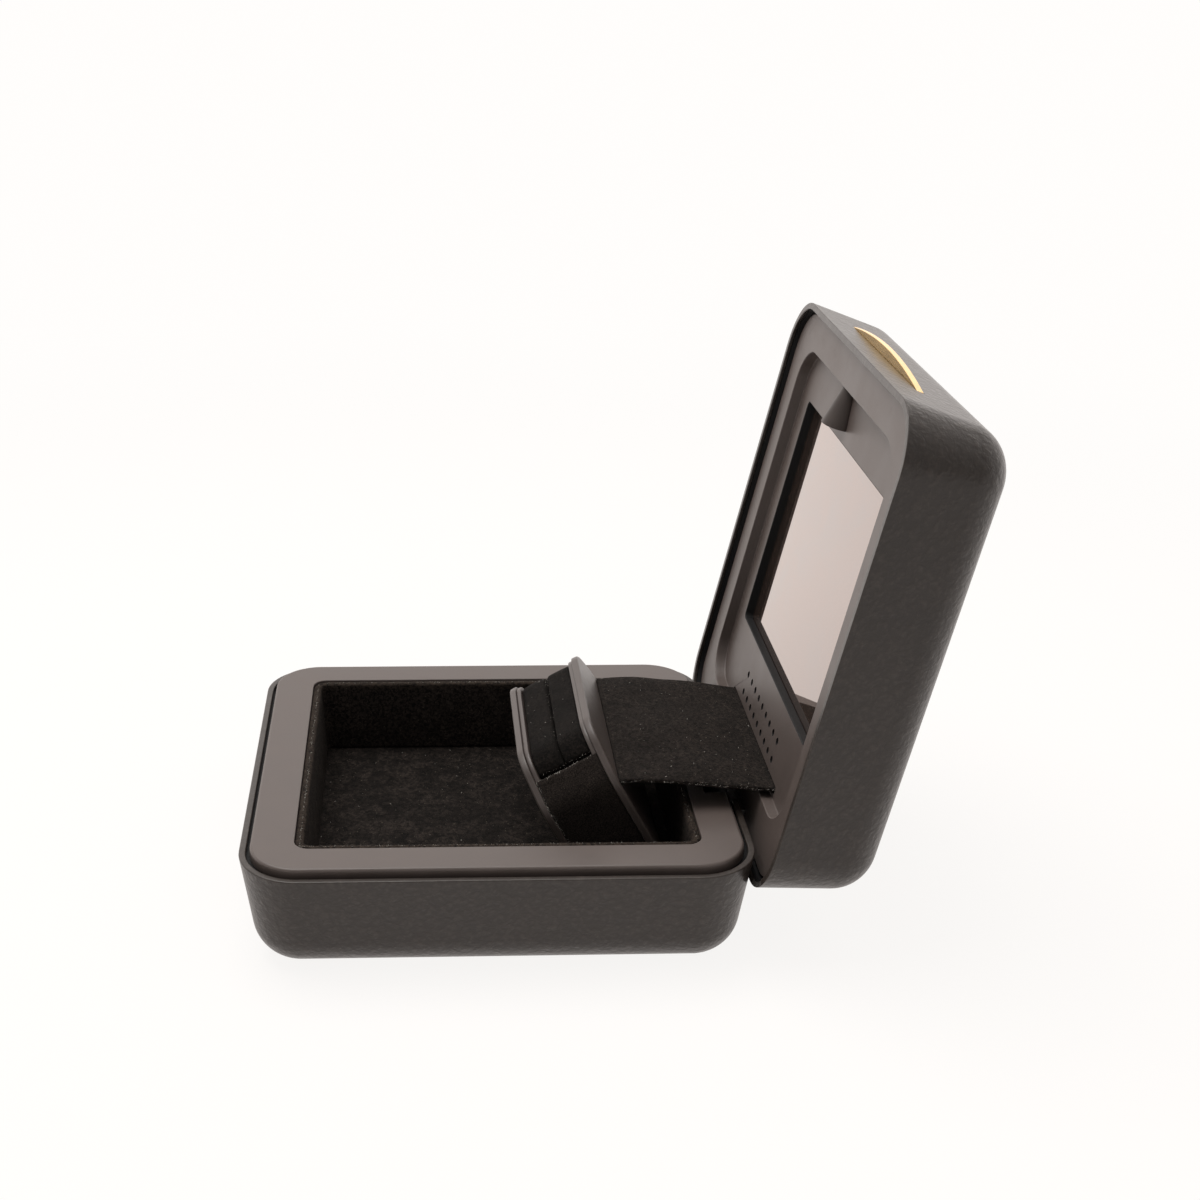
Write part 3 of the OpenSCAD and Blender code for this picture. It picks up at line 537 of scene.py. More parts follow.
def suede_finish(name, colour, nap, brushed, lint, sheen, painted_light_top=None):
    """Napped suede: matted tufts, patches brushed either way, sheen at grazing angles and caught specks.

    Given a height in metres, the suede turns a lighter brown towards it: painted light where light falls on a rolled
    top edge.
    """
    f = Finish(name, Specular_IOR_Level=0.1, Sheen_Weight=sheen, Sheen_Roughness=0.5)
    f.set("Sheen Tint", (0.62, 0.54, 0.48))
    fibre = f.noise(nap, detail=3.0, roughness=0.75).outputs["Fac"]
    tuft = f.noise(nap * 3.6, detail=3.0, roughness=0.65, distortion=0.9).outputs["Fac"]
    stroke = f.noise(0.0065, detail=3.0, roughness=0.55, distortion=1.6).outputs["Fac"]
    patch = f.span(stroke, 0.36, 0.64, 1.0 - brushed * 0.5, 1.0 + brushed)
    matted = f.times(f.span(tuft, 0.37, 0.63, 0.3, 2.2), f.span(fibre, 0.3, 0.7, 0.5, 1.5))
    base = f.tint(colour, f.times(patch, matted))
    if painted_light_top is not None:
        # Painted light: the nap turns a lighter brown over the top 2 mm, where light falls on the rolled edge
        height = f.node("ShaderNodeSeparateXYZ", {0: f.place}).outputs[2]
        painted_light_band = f.span(height, painted_light_top - 1.9 * MM, painted_light_top - 0.4 * MM, 0.0, 1.0)
        base = f.blend(f.times(painted_light_band, f.span(tuft, 0.4, 0.6, 0.1, 1.0)), base, PAINTED_LIGHT_BROWN)
    dot = f.span(f.cells(0.0006, "F1").outputs["Distance"], 0.12, 0.22, 1.0, 0.0)
    few = f.span(f.noise(0.0012, detail=2.0).outputs["Fac"], 0.5, 0.7, 0.0, lint)
    f.set("Base Color", f.blend(f.times(dot, few), base, SPECK))
    f.set("Roughness", f.span(fibre, 0.2, 0.8, 0.82, 0.98))
    low = f.relief(stroke, 0.0004, 0.3)
    f.set("Normal", f.relief(f.sum(fibre, tuft), 0.00014, 0.9, low))
    return f.material


def felt_finish(name, colour):
    """Pressed felt: matted fibres with a faint fleck."""
    f = Finish(name, Specular_IOR_Level=0.1, Sheen_Weight=0.2, Sheen_Roughness=0.5)
    mat = f.noise(0.0004, detail=5.0, roughness=0.8, distortion=2.0).outputs["Fac"]
    cloud = f.noise(0.006, detail=3.0).outputs["Fac"]
    fleck = f.span(mat, 0.6, 0.75, 0.0, 0.5)
    tone = f.span(cloud, 0.3, 0.7, 0.8, 1.25)
    base = f.tint(colour, tone)
    f.set("Base Color", f.blend(fleck, base, shade(colour, 2.6)))
    f.set("Roughness", f.span(mat, 0.2, 0.8, 0.85, 1.0))
    f.set("Normal", f.relief(mat, 0.00018, 0.7))
    return f.material


def metal_finish(name, colour, roughness, along=(1.0, 22.0, 22.0)):
    """Drawn or polished metal: fine lines along one axis, handling haze and tiny nicks."""
    f = Finish(name, Metallic=1.0)
    lines = f.noise(0.0022, detail=3.0, roughness=0.7, place=f.stretched(along)).outputs["Fac"]
    haze = f.noise(0.005, detail=4.0, roughness=0.6).outputs["Fac"]
    nick = f.span(f.cells(0.0017, "DISTANCE_TO_EDGE").outputs["Distance"], 0.0, 0.02, 1.0, 0.0)
    some = f.span(haze, 0.55, 0.68, 0.0, 0.6)
    f.set("Base Color", f.blend(f.span(haze, 0.3, 0.72, 0.0, 0.5), colour, shade(colour, 0.8)))
    gloss = f.span(lines, 0.3, 0.7, roughness * 0.8, roughness * 1.3)
    f.set("Roughness", f.sum(gloss, f.times(f.times(nick, some), 0.16)))
    f.set("Normal", f.relief(lines, 0.000006, 0.35))
    return f.material


def screen_finish(name, colour):
    """Blank screen behind polished cover glass, with a trace of dust and finger smear."""
    f = Finish(name, IOR=2.0, Specular_Tint=(1.0, 0.8, 0.7), Coat_Weight=1.0, Coat_Roughness=0.012, Coat_IOR=1.9)
    f.set("Coat Tint", (1.0, 0.86, 0.8))
    smear = f.noise(0.013, detail=4.0, roughness=0.6, distortion=0.9).outputs["Fac"]
    dust = f.span(f.cells(0.0028, "F1").outputs["Distance"], 0.02, 0.035, 1.0, 0.0)
    few = f.span(f.noise(0.004, detail=0.0).outputs["Fac"], 0.63, 0.66, 0.0, 0.5)
    f.set("Base Color", f.blend(f.times(dust, few), colour, DUST))
    f.set("Roughness", f.span(smear, 0.35, 0.75, 0.02, 0.05))
    f.set("Normal", f.relief(smear, 0.00002, 0.12))
    return f.material


def board_finish(name, colour):
    """Circuit board: solder mask over faint tracks."""
    f = Finish(name, Specular_IOR_Level=0.5, Roughness=0.38)
    track = f.span(f.cells(0.0021, "DISTANCE_TO_EDGE", randomness=0.55).outputs["Distance"], 0.03, 0.09, 1.0, 0.0)
    cloud = f.noise(0.004, detail=2.0).outputs["Fac"]
    base = f.blend(f.span(cloud, 0.3, 0.7), shade(colour, 0.85), colour)
    f.set("Base Color", f.blend(track, base, shade(colour, 1.9)))
    f.set("Normal", f.relief(track, 0.00003, 0.5))
    return f.material


def foil_finish(name, colour):
    """Crinkled pouch foil."""
    f = Finish(name, Metallic=0.85)
    crinkle = f.cells(0.0032, "F1").outputs["Distance"]
    fine = f.noise(0.0009, detail=4.0).outputs["Fac"]
    f.set("Base Color", f.blend(f.span(fine, 0.35, 0.65), shade(colour, 0.88), colour))
    f.set("Roughness", f.span(fine, 0.3, 0.7, 0.3, 0.44))
    f.set("Normal", f.relief(crinkle, 0.0003, 0.3))
    return f.material


def lens_finish(name):
    """Clouded clear lens of the lamp."""
    f = Finish(name, Specular_IOR_Level=0.6, Transmission_Weight=0.25)
    cloud = f.noise(0.0006, detail=3.0).outputs["Fac"]
    f.set("Base Color", f.blend(f.span(cloud, 0.3, 0.7), (0.86, 0.84, 0.76), (0.95, 0.93, 0.86)))
    f.set("Roughness", f.span(cloud, 0.3, 0.7, 0.08, 0.2))
    return f.material


def lint_finish(name):
    """Pale textile fibre."""
    f = Finish(name, Specular_IOR_Level=0.2)
    tone = f.noise(0.0011, detail=1.0).outputs["Fac"]
    f.set("Base Color", f.blend(f.span(tone, 0.35, 0.65), (0.1, 0.09, 0.08), (0.55, 0.52, 0.47)))
    f.set("Roughness", f.span(tone, 0.2, 0.8, 0.7, 0.95))
    return f.material


FINISHES = {}


def finish_for(name):
    """The named finish, made when it is first asked for."""
    if name not in FINISHES:
        colours, sizes = bpy.context.scene.ring_box_colours, bpy.context.scene.ring_box_sizes
        leather, trim, suede = (tuple(c) for c in (colours.leather, colours.trim, colours.suede))
        steel, gold = tuple(colours.steel), tuple(colours.gold)
        make = {
            "charcoal leather": lambda n: leather_finish(n, leather, sizes.grain_size),
            # The band where the leather turns over the rims: a smoother grain, and a quarter lighter as a painted
            # highlight
            "pressed leather with painted highlight": lambda n: leather_finish(n, shade(leather, 1.25), sizes.grain_size, depth=0.02),
            "satin trim": lambda n: trim_finish(n, trim),
            "holder trim": lambda n: trim_finish(n, shade(trim, 0.72), roughness=0.4, speck=0.8),
            "cowl trim": lambda n: trim_finish(n, shade(trim, 0.55), speck=0.4, gloss=0.3),
            # Black moulding of the hidden cores and fittings, and also painted shade on the walls of the openings
            # through the lid's panel
            "black moulding and painted shade": lambda n: trim_finish(n, (0.012, 0.012, 0.0125), roughness=0.55, speck=0.5, gloss=0.12),
            # One suede in lit and shaded copies: painted light on the upright lining and side pads, lighter than the
            # strap, and painted shade on the floor and the tops of the rolls, darker than it
            "lining suede in painted light": lambda n: suede_finish(n, shade(suede, 1.5), 0.0002, 0.3, 0.8, 0.02, painted_light_top=LINING_TOP),
            "floor suede in painted shade": lambda n: suede_finish(n, shade(suede, 0.75), 0.00024, 0.8, 1.3, 0.06),
            "strap suede": lambda n: suede_finish(n, suede, 0.00018, 0.3, 1.0, 0.05),
            "roll suede in painted shade": lambda n: suede_finish(n, shade(suede, 0.45), 0.00015, 0.4, 0.3, 0.025),
            "side suede in painted light": lambda n: suede_finish(n, shade(suede, 1.7), 0.00006, 0.1, 0.5, 0.02),
            "foot felt": lambda n: felt_finish(n, (0.03, 0.03, 0.03)),
            "pale gold": lambda n: metal_finish(n, gold, 0.27),
            "drawn steel": lambda n: metal_finish(n, steel, 0.32),
            "nickel": lambda n: metal_finish(n, (0.62, 0.6, 0.56), 0.24, along=(8.0, 8.0, 8.0)),
            "screen": lambda n: screen_finish(n, tuple(colours.screen)),
            "module shell": lambda n: foil_finish(n, (0.35, 0.35, 0.36)),
            "solder mask": lambda n: board_finish(n, (0.02, 0.11, 0.05)),
            "battery foil": lambda n: foil_finish(n, (0.5, 0.51, 0.53)),
            "lamp lens": lens_finish,
            "lint": lint_finish,
        }[name]
        FINISHES[name] = make(name)
    return FINISHES[name]


# ---------------------------------------------------------------- mesh helpers


def new_piece(name, mesh, finish):
    """A mesh as an object at the origin, with one finish."""
    piece = bpy.data.objects.new(name, mesh)
    bpy.context.scene.collection.objects.link(piece)
    mesh.materials.clear()
    mesh.materials.append(finish_for(finish))
    return piece


def baked(piece):
    """Turns the evaluated piece, modifiers and all, into its plain mesh."""
    graph = bpy.context.evaluated_depsgraph_get()
    mesh = bpy.data.meshes.new_from_object(piece.evaluated_get(graph), depsgraph=graph)
    mesh.name = piece.name
    piece.modifiers.clear()
    piece.data = mesh
    return piece


def smooth(mesh, degrees):
    """Smooth faces, with edges sharper than the angle kept crisp."""
    mesh.shade_smooth()
    mesh.set_sharp_from_angle(angle=math.radians(degrees))


def merged_copy(node):
    """A node's mesh as a clean bmesh: doubles joined and flat faces made whole."""
    bm = bmesh.new()
    bm.from_mesh(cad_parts[node].data)
    bmesh.ops.remove_doubles(bm, verts=bm.verts, dist=2e-6)
    bmesh.ops.dissolve_degenerate(bm, edges=bm.edges, dist=1e-7)
    bmesh.ops.dissolve_limit(
        bm, angle_limit=math.radians(0.4), verts=bm.verts, edges=bm.edges, use_dissolve_boundaries=False
    )
    return bm


def flare_holes(bm, wider):
    """Widens the front rims of the small holes through the lid's panel."""

    def on_rim(edge):
        """Whether an edge lies on the front rim of a small hole."""
        return edge.calc_length() < HOLE_EDGE and all(
            abs(in_shut_lid(v.co)[2] - RECESS_FLOOR) < 0.02 for v in edge.verts
        )

    left = dict.fromkeys(v for e in bm.edges if on_rim(e) for v in e.verts)
    while left:
        hole, reached = [], [left.popitem()[0]]
        while reached:
            v = reached.pop()
            hole.append(v)
            for e in v.link_edges:
                other = e.other_vert(v)
                if other in left and e.calc_length() < HOLE_EDGE:
                    del left[other]
                    reached.append(other)
        centre = sum((v.co for v in hole), Vector()) / len(hole)
        for v in hole:
            v.co = centre + (v.co - centre) * wider


def finished_copy(node, name, finish, edge, segments=2, angle=34.0, flare=None):
    """A node rebuilt with rounded edges, to be shown in its place; the rims of small holes stay crisp or flare."""
    bm = merged_copy(node)
    if flare:
        flare_holes(bm, flare)
    weight = bm.edges.layers.float.new("bevel_weight_edge")
    for line in bm.edges:
        if line.is_manifold and line.calc_face_angle(0.0) > math.radians(angle):
            line[weight] = 0.0 if line.calc_length() < HOLE_EDGE else 1.0
    mesh = bpy.data.meshes.new(name)
    bm.to_mesh(mesh)
    bm.free()
    piece = new_piece(name, mesh, finish)
    bevel = piece.modifiers.new("Rounded edges", "BEVEL")
    bevel.width = edge
    bevel.segments = segments
    bevel.limit_method = "WEIGHT"
    bevel.use_clamp_overlap = False
    bevel.miter_outer = "MITER_ARC"
    baked(piece)
    smooth(piece.data, 40.0)
    weigh = piece.modifiers.new("Even shading", "WEIGHTED_NORMAL")
    weigh.keep_sharp = True
    baked(piece)
    return piece


def second_finish(piece, finish, chosen):
    """Gives the faces whose centres are chosen a finish of their own."""
    piece.data.materials.append(finish_for(finish))
    for face in piece.data.polygons:
        if chosen(face.center):
            face.material_index = 1


def in_panel_opening(point):
    """Whether a point lies in an opening through the panel of the lid's recess."""
    x, _, z = in_shut_lid(point)
    return abs(x) < PANEL_HALF and RECESS_FLOOR + 0.02 < z < RECESS_FLOOR + RECESS_THICK - 0.02


def on_base_rim(point):
    """Whether a point lies on the rim where the base's leather turns over."""
    return point.z / MM > BASE_RIM - RIM_BAND


def on_lid_rim(point):
    """Whether a point lies on the rim where the lid's leather turns over."""
    return in_shut_lid(point)[2] < LID_RIM + RIM_BAND


def seated(piece, body, slot, *nodes):
    """Rides the piece on its body and hides the nodes that it stands for; the slot is not used."""
    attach(piece, body)
    if nodes:
        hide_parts(*nodes)
    return piece


def finish_node(node, finish):
    """Gives a node that stays as it is its finish."""
    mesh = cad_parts[node].data
    mesh.materials.clear()
    mesh.materials.append(finish_for(finish))


def closed_mesh(name, rings):
    """Skin over equal closed rings of points, with both ends closed."""
    bm = bmesh.new()
    rows = [[bm.verts.new(p) for p in ring] for ring in rings]
    count = len(rings[0])
    for a, b in zip(rows, rows[1:]):
        for i in range(count):
            j = (i + 1) % count
            bm.faces.new((a[i], a[j], b[j], b[i]))
    bm.faces.new(rows[0][::-1])
    bm.faces.new(rows[-1])
    bmesh.ops.recalc_face_normals(bm, faces=bm.faces)
    mesh = bpy.data.meshes.new(name)
    bm.to_mesh(mesh)
    bm.free()
    return mesh


def joined_meshes(name, meshes):
    """Several meshes as one."""
    bm = bmesh.new()
    for mesh in meshes:
        bm.from_mesh(mesh)
    out = bpy.data.meshes.new(name)
    bm.to_mesh(out)
    bm.free()
    return out


def walked(points, step):
    """A polyline sampled evenly: positions and unit normals to the left of the way along."""
    pts = [Vector(p) for p in points]
    lengths = [0.0]
    for a, b in zip(pts, pts[1:]):
        lengths.append(lengths[-1] + (b - a).length)
    count = max(4, int(round(lengths[-1] / step)))
    samples = []
    k = 0
    for i in range(count + 1):
        d = lengths[-1] * i / count
        while k < len(pts) - 2 and lengths[k + 1] < d:
            k += 1
        t = (d - lengths[k]) / max(lengths[k + 1] - lengths[k], 1e-9)
        samples.append((pts[k].lerp(pts[k + 1], t), d))
    out = []
    for i, (p, d) in enumerate(samples):
        a = samples[max(i - 1, 0)][0]
        b = samples[min(i + 1, count)][0]
        way = (b - a).normalized()
        out.append((p, Vector((-way.y, way.x)), d))
    return out, lengths[-1]


def holder_outline(inset, knee):
    """Upper outline of the holder from the left flank to the right, rounded at its knees."""
    w, t, h = HOLDER_HALF - inset, HOLDER_TOP_HALF - inset * 0.6, HOLDER_TOP - inset
    left = [(-w, HOLDER_LOW), (-w, HOLDER_SHOULDER), (-t, h)]
    corners = left + [(-x, y) for x, y in reversed(left)]
    path = [corners[0]]
    for a, b, c in zip(corners, corners[1:], corners[2:]):
        a, b, c = Vector(a), Vector(b), Vector(c)
        u, v = (a - b).normalized(), (c - b).normalized()
        half_turn = math.acos(max(-1.0, min(1.0, u.dot(v)))) / 2
        cut = knee / math.tan(half_turn)
        centre = b + (u + v).normalized() * (knee / math.sin(half_turn))
        first, last = b + u * cut - centre, b + v * cut - centre
        turn = first.angle_signed(last)
        for i in range(9):
            path.append(tuple(centre + Matrix.Rotation(-turn * i / 8, 2) @ first))
    path.append(corners[-1])
    return path


def left_flank(inset, knee, low, high):
    """The left side of the holder's outline between two heights, from the lower to the upper."""
    path = [Vector(p) for p in holder_outline(inset, knee)]
    part = []
    for a, b in zip(path, path[1 : len(path) // 2]):
        part += [a.lerp(b, (level - a.y) / (b.y - a.y)) for level in (low, high) if a.y < level <= b.y]
        if low < b.y < high:
            part.append(b)
    return part


# ---------------------------------------------------------------- geometry recipes


class Recipe:
    """A Geometry Nodes tree under construction: named inputs, nodes and one finished result."""

    def __init__(self, name):
        self.tree = bpy.data.node_groups.new(name, "GeometryNodeTree")
        self.tree.is_modifier = True
        for way in ("INPUT", "OUTPUT"):
            self.tree.interface.new_socket("Geometry", in_out=way, socket_type="NodeSocketGeometry")
        self.entry = self.tree.nodes.new("NodeGroupInput")
        self.exit = self.tree.nodes.new("NodeGroupOutput")
        self.values = {}

    def input(self, name, kind, value):
        """A named input of the tree with the value that the modifier sets it to."""
        socket = self.tree.interface.new_socket(name, in_out="INPUT", socket_type="NodeSocket" + kind)
        self.values[socket.identifier] = value
        return self.entry.outputs[name]

    def node(self, kind, inputs, **settings):
        """Adds a node, with its settings and its inputs given by name or number."""
        return wired(self.tree, kind, inputs, **settings)

    def shape(self, kind, inputs, **settings):
        """Adds a node and returns its first output."""
        return self.node(kind, inputs, **settings).outputs[0]

    def times(self, a, b):
        """a and b multiplied."""
        return reckoned(self.tree, a, b, "MULTIPLY")

    def vector(self, x, y, z):
        """A vector of three numbers."""
        return self.shape("ShaderNodeCombineXYZ", {0: x, 1: y, 2: z})

    def moved(self, geometry, offset):
        """The geometry shifted by an offset."""
        return self.shape("GeometryNodeTransform", {"Geometry": geometry, "Translation": offset})

    def ripple(self, geometry, size, amount):
        """Pushes the points about by smooth noise."""
        _, offset = pushed(self.tree, size, amount, 1.0)
        return self.shape("GeometryNodeSetPosition", {"Geometry": geometry, "Offset": offset})

    def random_vector(self, least, most, seed):
        """A vector drawn at random for each point."""
        ends = {0: least, 1: most, "Seed": seed}
        return self.shape("FunctionNodeRandomValue", ends, data_type="FLOAT_VECTOR")

    def strewn(self, points, length, thickness, seed):
        """A short fibre at each point, turned and scaled at random."""
        fibre = self.shape(
            "GeometryNodeMeshCone",
            {
                "Vertices": 4,
                "Side Segments": 1,
                "Fill Segments": 1,
                "Radius Top": self.times(thickness, 0.4),
                "Radius Bottom": thickness,
                "Depth": length,
            },
        )
        turn = self.random_vector((-3.1, -3.1, -3.1), (3.1, 3.1, 3.1), seed)
        size = self.node("FunctionNodeRandomValue", {2: 0.35, 3: 1.2, "Seed": seed}, data_type="FLOAT").outputs[1]
        return self.shape(
            "GeometryNodeInstanceOnPoints", {"Points": points, "Instance": fibre, "Rotation": turn, "Scale": size}
        )

    def made(self, name, geometry, finish, mesh=None):
        """Ends the tree, runs it on the mesh and returns its result as an object."""
        whole = self.shape("GeometryNodeRealizeInstances", {"Geometry": geometry})
        done = self.shape("GeometryNodeSetMaterial", {"Geometry": whole, "Material": finish_for(finish)})
        feed(self.tree, self.exit.inputs[0], done)
        piece = bpy.data.objects.new(name, mesh or bpy.data.meshes.new(name))
        bpy.context.scene.collection.objects.link(piece)
        modifier = piece.modifiers.new(name, "NODES")
        modifier.node_group = self.tree
        for identifier, value in self.values.items():
            modifier[identifier] = value
        baked(piece)
        if len(piece.data.polygons) == 0:
            raise RuntimeError(f"the tree for {name} made nothing")
        return piece


def polyline_mesh(name, lines):
    """Lines of points as a mesh of edges only."""
    mesh = bpy.data.meshes.new(name)
    points, edges = [], []
    for line in lines:
        first = len(points)
        points += [tuple(p) for p in line]
        edges += [(first + i, first + i + 1) for i in range(len(line) - 1)]
    mesh.from_pydata(points, edges, [])
    return mesh


def edge_fibres(name, lines, spacing, seed, share=1.0):
    """Loose fibres along the cut edges of suede."""
    recipe = Recipe("Edge Fibres")
    step = recipe.input("Spacing", "Float", spacing)
    long = recipe.input("Length", "Float", bpy.context.scene.ring_box_sizes.fibre_length * share)
    thick = recipe.input("Thickness", "Float", 0.000034)
    seeded = recipe.input("Seed", "Int", seed)
    curve = recipe.shape("GeometryNodeMeshToCurve", {"Mesh": recipe.entry.outputs["Geometry"]})
    even = recipe.shape("GeometryNodeResampleCurve", {"Curve": curve, "Length": step}, mode="LENGTH")
    loose = recipe.ripple(even, 0.0011, 0.0004)
    return recipe.made(name, recipe.strewn(loose, long, thick, seeded), "lint", polyline_mesh(name, lines))


def lint_on(name, mesh, share, seed):
    """Lint caught on the surface of a mesh."""
    sizes = bpy.context.scene.ring_box_sizes
    recipe = Recipe("Caught Lint")
    many = recipe.input("Density", "Float", share * sizes.lint_density)
    long = recipe.input("Length", "Float", sizes.fibre_length * 0.8)
    thick = recipe.input("Thickness", "Float", 0.00006)
    seeded = recipe.input("Seed", "Int", seed)
    points = recipe.shape(
        "GeometryNodeDistributePointsOnFaces",
        {"Mesh": recipe.entry.outputs["Geometry"], "Density": many, "Seed": seeded},
        distribute_method="RANDOM",
    )
    return recipe.made(name, recipe.strewn(points, long, thick, seeded), "lint", mesh)


def lining_wall(name, low, high, thickness, corner, roll):
    """Suede wall that follows the rounded rectangle of the well, with a rolled top edge."""
    recipe = Recipe("Lining Wall")
    width = recipe.input("Width", "Float", high.x - low.x - thickness)
    length = recipe.input("Length", "Float", high.y - low.y - thickness)
    height = recipe.input("Height", "Float", high.z - low.z)
    thick = recipe.input("Thickness", "Float", thickness)
    bend = recipe.input("Corner Radius", "Float", corner)
    rolled = recipe.input("Roll Radius", "Float", roll)
    centre = recipe.input("Centre", "Vector", tuple((low + high) / 2))
    plan = recipe.shape("GeometryNodeCurvePrimitiveQuadrilateral", {"Width": width, "Height": length})
    plan = recipe.shape("GeometryNodeFilletCurve", {"Curve": plan, "Count": 8, "Radius": bend}, mode="POLY")
    plan = recipe.shape("GeometryNodeSubdivideCurve", {"Curve": plan, "Cuts": 16})
    plan = recipe.shape("GeometryNodeSetCurveNormal", {"Curve": plan}, mode="Z_UP")
    band = recipe.shape("GeometryNodeCurvePrimitiveQuadrilateral", {"Width": thick, "Height": height})
    band = recipe.shape("GeometryNodeFilletCurve", {"Curve": band, "Count": 5, "Radius": rolled}, mode="POLY")
    wall = recipe.shape("GeometryNodeCurveToMesh", {"Curve": plan, "Profile Curve": band})
    return recipe.made(name, recipe.ripple(recipe.moved(wall, centre), 0.009, 0.00016), "lining suede in painted light")


def pan_screws(name, places, radius, height, shank, depth):
    """Screws with a tapered head and a cross recess, upright at the given places."""
    recipe = Recipe("Pan Screws")
    wide = recipe.input("Head Radius", "Float", radius)
    tall = recipe.input("Head Height", "Float", height)
    thin = recipe.input("Shank Radius", "Float", shank)
    deep = recipe.input("Shank Length", "Float", depth)
    head = recipe.shape(
        "GeometryNodeMeshCone",
        {"Vertices": 32, "Radius Top": recipe.times(wide, 0.78), "Radius Bottom": wide, "Depth": tall},
    )
    recess, slim = recipe.times(tall, 0.9), recipe.times(wide, 0.24)
    cut = recipe.node("GeometryNodeMeshBoolean", {"Mesh 1": head}, operation="DIFFERENCE")
    for x, y in ((wide, slim), (slim, wide)):
        bar = recipe.shape("GeometryNodeMeshCube", {"Size": recipe.vector(x, y, recess)})
        feed(recipe.tree, cut.inputs["Mesh 2"], recipe.moved(bar, recipe.vector(0.0, 0.0, tall)))
    stem = recipe.shape("GeometryNodeMeshCylinder", {"Vertices": 24, "Radius": thin, "Depth": deep})
    stem = recipe.moved(stem, recipe.vector(0.0, 0.0, recipe.times(deep, -0.5)))
    both = recipe.node("GeometryNodeJoinGeometry", {})
    for part in (stem, cut.outputs[0]):
        feed(recipe.tree, both.inputs[0], part)
    points = recipe.shape("GeometryNodeMeshToPoints", {"Mesh": recipe.entry.outputs["Geometry"]})
    turn = recipe.random_vector((0.0, 0.0, 0.0), (0.0, 0.0, 1.5), 4)
    many = recipe.shape(
        "GeometryNodeInstanceOnPoints", {"Points": points, "Instance": both.outputs[0], "Rotation": turn}
    )
    mesh = bpy.data.meshes.new(name)
    mesh.from_pydata([tuple(p) for p in places], [], [])
    piece = recipe.made(name, many, "drawn steel", mesh)
    smooth(piece.data, 30.0)
    return piece


# ---------------------------------------------------------------- soft forms


def rolled_in(distance, radius):
    """How far a rolled edge falls back at a distance from the edge."""
    if distance >= radius:
        return 0.0
    rest = radius - max(distance, 0.0)
    return radius - math.sqrt(max(radius * radius - rest * rest, 0.0))


def wander(point, size, amount, seed=0.0):
    """Smooth pseudo-random push at a point, in the units of amount."""
    return amount * noise.noise(Vector(point) / size + Vector((seed, seed * 0.7, -seed)))


def edge_steps(first, last, radius, count):
    """Stations from first to last, close together in the rolled edges at both ends."""
    turn = [radius * (1.0 - math.cos(math.pi / 2 * i / count)) for i in range(count + 1)]
    low = [first + t for t in turn]
    high = [last - t for t in reversed(turn)]
    middle = max(2, int((high[0] - low[-1]) / 0.5))
    return low + [low[-1] + (high[0] - low[-1]) * i / middle for i in range(1, middle)] + high


def ring_roll(name, front, back, slot_side):
    """One roll of the ring pad, lofted front to back, crowned and rolled in at all its edges."""
    roll = bpy.context.scene.ring_box_sizes.pad_roll / MM
    flank = left_flank(ROLL_INSET, PAD_KNEE, ROLL_SEAM, 99.0)
    samples, length = walked(flank + [Vector((-p.x, p.y)) for p in reversed(flank)], 0.42)
    # The underside and the neck, which stands between the carrier's walls
    neck = left_flank(2.55, PAD_KNEE - 1.55, 5.15, ROLL_SEAM - 0.25)
    under = [(-p.x, p.y) for p in reversed(neck)] + [(p.x, p.y) for p in neck]
    rings = []
    for e in edge_steps(front, back, roll, 6):
        from_slot, from_cheek = (back - e, e - front) if slot_side > 0 else (e - front, back - e)
        fall = rolled_in(from_slot, roll) * 0.8 + rolled_in(from_cheek, 0.45) * 0.8
        middle = 1.0 - abs(2.0 * (e - front) / (back - front) - 1.0) ** 2.4
        ring = []
        for p, normal, along in samples:
            to_seam = min(along, length - along)
            swell = 0.2 * middle * min(1.0, to_seam / 2.5)
            depth = fall + rolled_in(to_seam, 0.5) * 0.9 + 0.24 - swell + wander((p.x, e, p.y), 3.2, 0.07, 2.0)
            ring.append(on_holder(p.x - normal.x * depth, e, p.y - normal.y * depth))
        ring += [on_holder(x, e, u) for x, u in under]
        rings.append(ring)
    piece = new_piece(name, closed_mesh(name, rings), "roll suede in painted shade")
    smooth(piece.data, 50.0)
    return piece, samples


